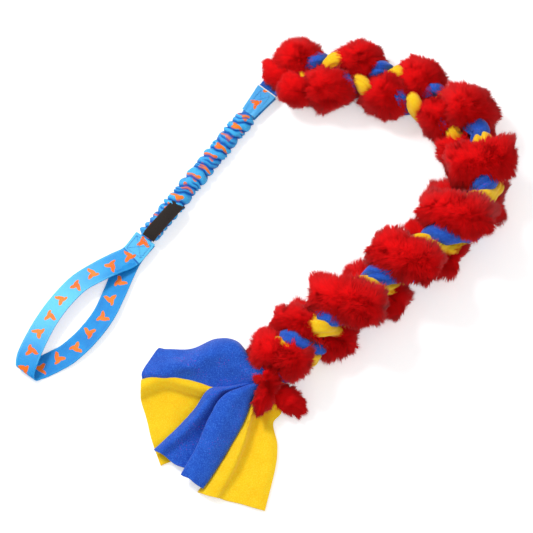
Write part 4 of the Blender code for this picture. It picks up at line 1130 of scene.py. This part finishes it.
def add_sleeve():
    """A tube drawn together into slanted folds, of which some split in two."""
    rows, columns = 620, 80
    share, angle = np.linspace(0, 1, rows)[:, None], full_circle(columns)[None, :]
    folds = np.arange(GATHERS + 1)
    pitch = np.cumsum(np.concatenate([[0.0], 1 + 0.30 * np.sin(folds[:-1] * 2.4 + 0.6)]))
    pitch = pitch / pitch[-1]
    slant = 0.26 + 0.22 * np.sin(np.interp(share, pitch, folds) * 1.3)
    wave = slant * np.cos(angle + 0.5) + 0.10 * np.sin(2 * angle + 9 * share)
    wave = wave + 0.05 * np.sin(5 * angle + 31 * share)
    spot = np.interp(np.clip(share + wave / GATHERS, 0, 1), pitch, folds)
    number = np.floor(spot)
    crest = np.abs(np.sin(math.pi * spot)) ** 0.60
    split_at = 2.0 + 1.9 * number
    split = np.exp(-(((spot - number - 0.52) / 0.10) ** 2)) * smoothstep(np.cos(angle - split_at) * 1.4)
    crest = crest * (1 - 0.55 * split) * (0.90 + 0.13 * np.sin(number * 1.7))
    ends = smoothstep(np.minimum(share, 1 - share) / 0.03)
    radius = SLEEVE_CORE + ends * (SLEEVE_WALL + SLEEVE_FOLD * crest)
    along = SLEEVE_START + share * (SLEEVE_END - SLEEVE_START)
    grid = on_bungee(along, radius * np.cos(angle), SLEEVE_FLAT * radius * np.sin(angle))
    rough = 0.0005 * grain(grid, 0.006, 4.0) + 0.00025 * grain(grid, 0.0026, 8.0)
    grid = grid + unit(grid - on_bungee(along, 0.0, 0.0)) * (rough * ends)[..., None]
    high, give = grid[..., 2], PRESSED_UNDER - PRESSED_TO
    pressed = PRESSED_TO + give * np.exp((high - PRESSED_UNDER) / give)
    grid[..., 2] = np.where(high < PRESSED_UNDER, pressed, high)
    cloth = (share[:, 0] * SLEEVE_CLOTH, round_the_sleeve(columns))
    obj = grid_object("gathered_sleeve", grid, wrap=True, caps=True, uv=cloth)
    # The material darkens the low places of the folds by this value, as painted shade
    add_values(obj.data, "crest", crest.ravel())
    obj.data.materials.append(SATIN_GATHERED)
    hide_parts("bungee_sleeve")
    stretch_with_sleeve(obj)


add_sleeve()


def add_elastic():
    """The flat elastic inside the sleeve."""
    angle = full_circle(24)[None, :]
    along = np.linspace(SLEEVE_START - ELASTIC_BEFORE, SLEEVE_END - ELASTIC_SHORT, 80)[:, None]
    across = ELASTIC_HALF * np.sign(np.cos(angle)) * np.abs(np.cos(angle)) ** 0.4
    grid = on_bungee(along, across, ELASTIC_HIGH * np.sin(angle))
    elastic = grid_object("elastic_band", grid, wrap=True, caps=True)
    elastic.data.materials.append(ELASTIC)
    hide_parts("bungee_elastic")
    stretch_with_sleeve(elastic)


def add_sleeve_fold():
    """The sleeve's soft end, at the place where the hand loop folds."""
    share, angle = np.linspace(0, 1, 40)[:, None], full_circle(24)[None, :]
    wide = END_WIDE - END_NARROWS * smoothstep(share * 2)
    high = END_HIGH - END_FLATTENS * smoothstep((share - 0.12) / 0.5)
    creased = 1 + 0.06 * np.sin(5 * angle + 30 * share)
    along = SLEEVE_END - END_BACK + END_LENGTH * share
    grid = on_bungee(along, wide * creased * np.cos(angle), high * creased * np.sin(angle))
    cloth = (0.010 + np.arange(40) * 0.0005, round_the_sleeve(24))
    fold = grid_object("sleeve_fold", grid, wrap=True, caps=True, uv=cloth)
    # An even middle value, so the soft end gets an even share of the painted valley shade
    add_values(fold.data, "crest", 0.45)
    fold.data.materials.append(SATIN_GATHERED)
    bend_piece(fold)


add_elastic()
add_sleeve_fold()


# Label
def add_label():
    share, across = sheet_shares(40, 12)
    along = SLEEVE_END - LABEL_BACK - LABEL_LENGTH * share
    aside = LABEL_ASIDE * (1 + share) + across * LABEL_WIDTH / 2
    height = LABEL_HEIGHT + LABEL_LIFT * smoothstep(share * 9) + LABEL_ARCH * np.sin(share * math.pi)
    height = height - LABEL_DIP * across**2 + LABEL_WAVE * np.sin(share * 14 + across)
    height = height - LABEL_DROP * smoothstep((share - 0.90) / 0.10)
    cloth = (share[:, 0] * LABEL_LENGTH, across[0] * LABEL_WIDTH / 2)
    obj = grid_object("bare_label", on_bungee(along, aside, height), uv=cloth)
    thicken(obj, LABEL_THICK, LABEL_THICK / 4)
    finish_piece(obj, LABEL, "sleeve_end", "label")


add_label()


# Handle strap
# Its line: along and aside as shares of LOOP_LENGTH, height as a share of STRAP_WIDTH, lean in degrees
LOOP_SHARES = (
    (0.1, -0.045, 0.385, 4), (0.2, -0.092, 0.4, 10), (0.35, -0.147, 0.4, 16), (0.52, -0.162, 0.39, 18),
    (0.67, -0.153, 0.385, 16), (0.8, -0.129, 0.4, 10), (0.9, -0.103, 0.43, 4), (0.965, -0.08, 0.41, 0),
    (1.003, -0.06, 0.31, 0), (1.01, -0.046, 0.215, 0), (1, -0.034, 0.12, 0), (0.96, -0.018, 0.045, 0),
    (0.9, 0.01, 0.036, 0), (0.82, 0.048, 0.05, 2), (0.74, 0.079, 0.08, 6), (0.59, 0.103, 0.13, 10),
    (0.42, 0.1, 0.15, 12), (0.265, 0.065, 0.14, 8), (0.118, 0.024, 0.165, 3),
)
# From here on, as a share of LOOP_LENGTH, the strap's width lies straight across the tip
CURL_START = 0.88


def add_strap():
    """A closed loop of webbing, whose two ends lie on each other in the sewn patch."""
    layer = 0.001 + 0.0003 + STRAP_THICK / 2
    guides = [(-PATCH_LENGTH, 0.0, layer, 0.0), (0.0, 0.0, layer, 0.0)]
    for along, aside, height, lean in LOOP_SHARES:
        high = height * STRAP_WIDTH - BUNGEE_HEIGHT
        guides.append((along * LOOP_LENGTH, aside * LOOP_LENGTH, high, math.radians(lean)))
    guides += [(0.0, 0.0, -layer, 0.0), (-PATCH_LENGTH, 0.0, -layer, 0.0)]
    line = smooth_line(guides, 9)
    columns = 13
    centre, lean = line[:, :3], line[:, 3:]
    ahead = np.gradient(centre, axis=0)
    square = np.cross(UP, unit(ahead * (1, 1, 0)))
    square = np.where(square[:, 1:2] > 0, square, -square)
    curl = smoothstep((centre[:, 0] / LOOP_LENGTH - CURL_START) / (1 - CURL_START))[:, None]
    level = unit(square * (1 - curl) + np.array([0.0, 1.0, 0.0]) * curl)
    cross = level * np.cos(lean) + UP * np.sin(lean)
    across = np.linspace(-1, 1, columns)
    normal = unit(np.cross(unit(ahead), cross))
    grid = centre[:, None] + cross[:, None] * (across * STRAP_WIDTH / 2)[:, None]
    grid = grid + normal[:, None] * (0.00025 * (1 - across**2))[:, None]
    world = on_bungee(grid[..., 0] + BUNGEE_LENGTH, grid[..., 1], grid[..., 2])
    cloth = (reach_along(centre) + 0.004, across * STRAP_WIDTH / 2)
    obj = grid_object("hand_loop", world, uv=cloth)
    thicken(obj, STRAP_THICK, 0.0004)
    mesh = obj.data
    mesh.materials.append(SATIN)
    # The inside face gets the darker satin, whose darker colour is painted shade
    mesh.materials.append(SATIN_INSIDE_SHADED)
    faces = {}
    for key in ("center", "normal"):
        values = np.empty(len(mesh.polygons) * 3)
        mesh.polygons.foreach_get(key, values)
        faces[key] = values.reshape(-1, 3)
    # The inner face looks up on the lower band, and down on the upper one
    middle = world[:, columns // 2]
    nearest = [np.argmin(np.linalg.norm(middle - spot, axis=1)) for spot in faces["center"]]
    outside = unit(np.cross(np.gradient(middle, axis=0), world[:, -1] - world[:, 0]))[nearest]
    inner = np.sum(faces["normal"] * outside, axis=1) < 0
    mesh.polygons.foreach_set("material_index", inner.astype(np.int32))
    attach(obj, "handle")
    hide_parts("handle_strap")


add_strap()


# Stitching
STITCH_PITCH, STITCH_RADIUS, STITCH_RISE = 0.0026, 0.00028, 0.00025
STITCH_STEPS, STITCH_SIDES = 5, 6


def add_stitches(name, lines, body, node):
    """Single stitches of thread along straight lines, each a low arch."""
    verts, faces = [], []
    spots = np.linspace(0, 1, STITCH_STEPS)[:, None]
    for start, end in lines:
        count = max(1, round(np.linalg.norm(end - start) / STITCH_PITCH))
        side = unit(np.cross(UP, unit(end - start)))
        for number in range(count):
            a, b = (start + (end - start) * (number + share) / count for share in (0.12, 0.88))
            first = len(verts)
            for step, point in enumerate(a + (b - a) * spots + UP * STITCH_RISE * np.sin(spots * math.pi)):
                radius = STITCH_RADIUS * (0.55 if step in (0, STITCH_STEPS - 1) else 1.0)
                for turn in full_circle(STITCH_SIDES):
                    verts.append(tuple(point + side * radius * math.cos(turn) + UP * radius * math.sin(turn)))
            for one in range(first, len(verts) - STITCH_SIDES, STITCH_SIDES):
                for corner in range(STITCH_SIDES):
                    following, two = (corner + 1) % STITCH_SIDES, one + STITCH_SIDES
                    faces.append((one + corner, one + following, two + following, two + corner))
    finish_piece(face_object(name, verts, faces), THREAD, body, node)


def box_lines(start, end, half, height):
    """A box and its two diagonals."""
    spots = ((start, -half), (start, half), (end, half), (end, -half))
    corners = [on_bungee(along, aside, height) for along, aside in spots]
    sides = [(corners[number], corners[(number + 1) % 4]) for number in range(4)]
    return sides + [(corners[0], corners[2]), (corners[1], corners[3])]


patch_start = BUNGEE_LENGTH - PATCH_LENGTH + PATCH_END_GAP
patch_half, patch_top = STRAP_WIDTH / 2 - PATCH_SIDE_GAP, STRAP_THICK + PATCH_HEIGHT
patch_box = box_lines(patch_start, BUNGEE_LENGTH - PATCH_END_GAP, patch_half, patch_top)
add_stitches("handle_stitches", patch_box, "handle", "handle_stitching")
hem_box = box_lines(HEM_START + HEM_BOX_FROM, HEM_START + HEM_BOX_TO, HEM_BOX_HALF, HEM_BOX_HEIGHT)
add_stitches("hem_stitches", hem_box, "connector", "connector_stitching")


# The tie keeps its CAD shape
nodes["end_whipping"].data.materials.clear()
nodes["end_whipping"].data.materials.append(TIE_THREAD)

add_floor()
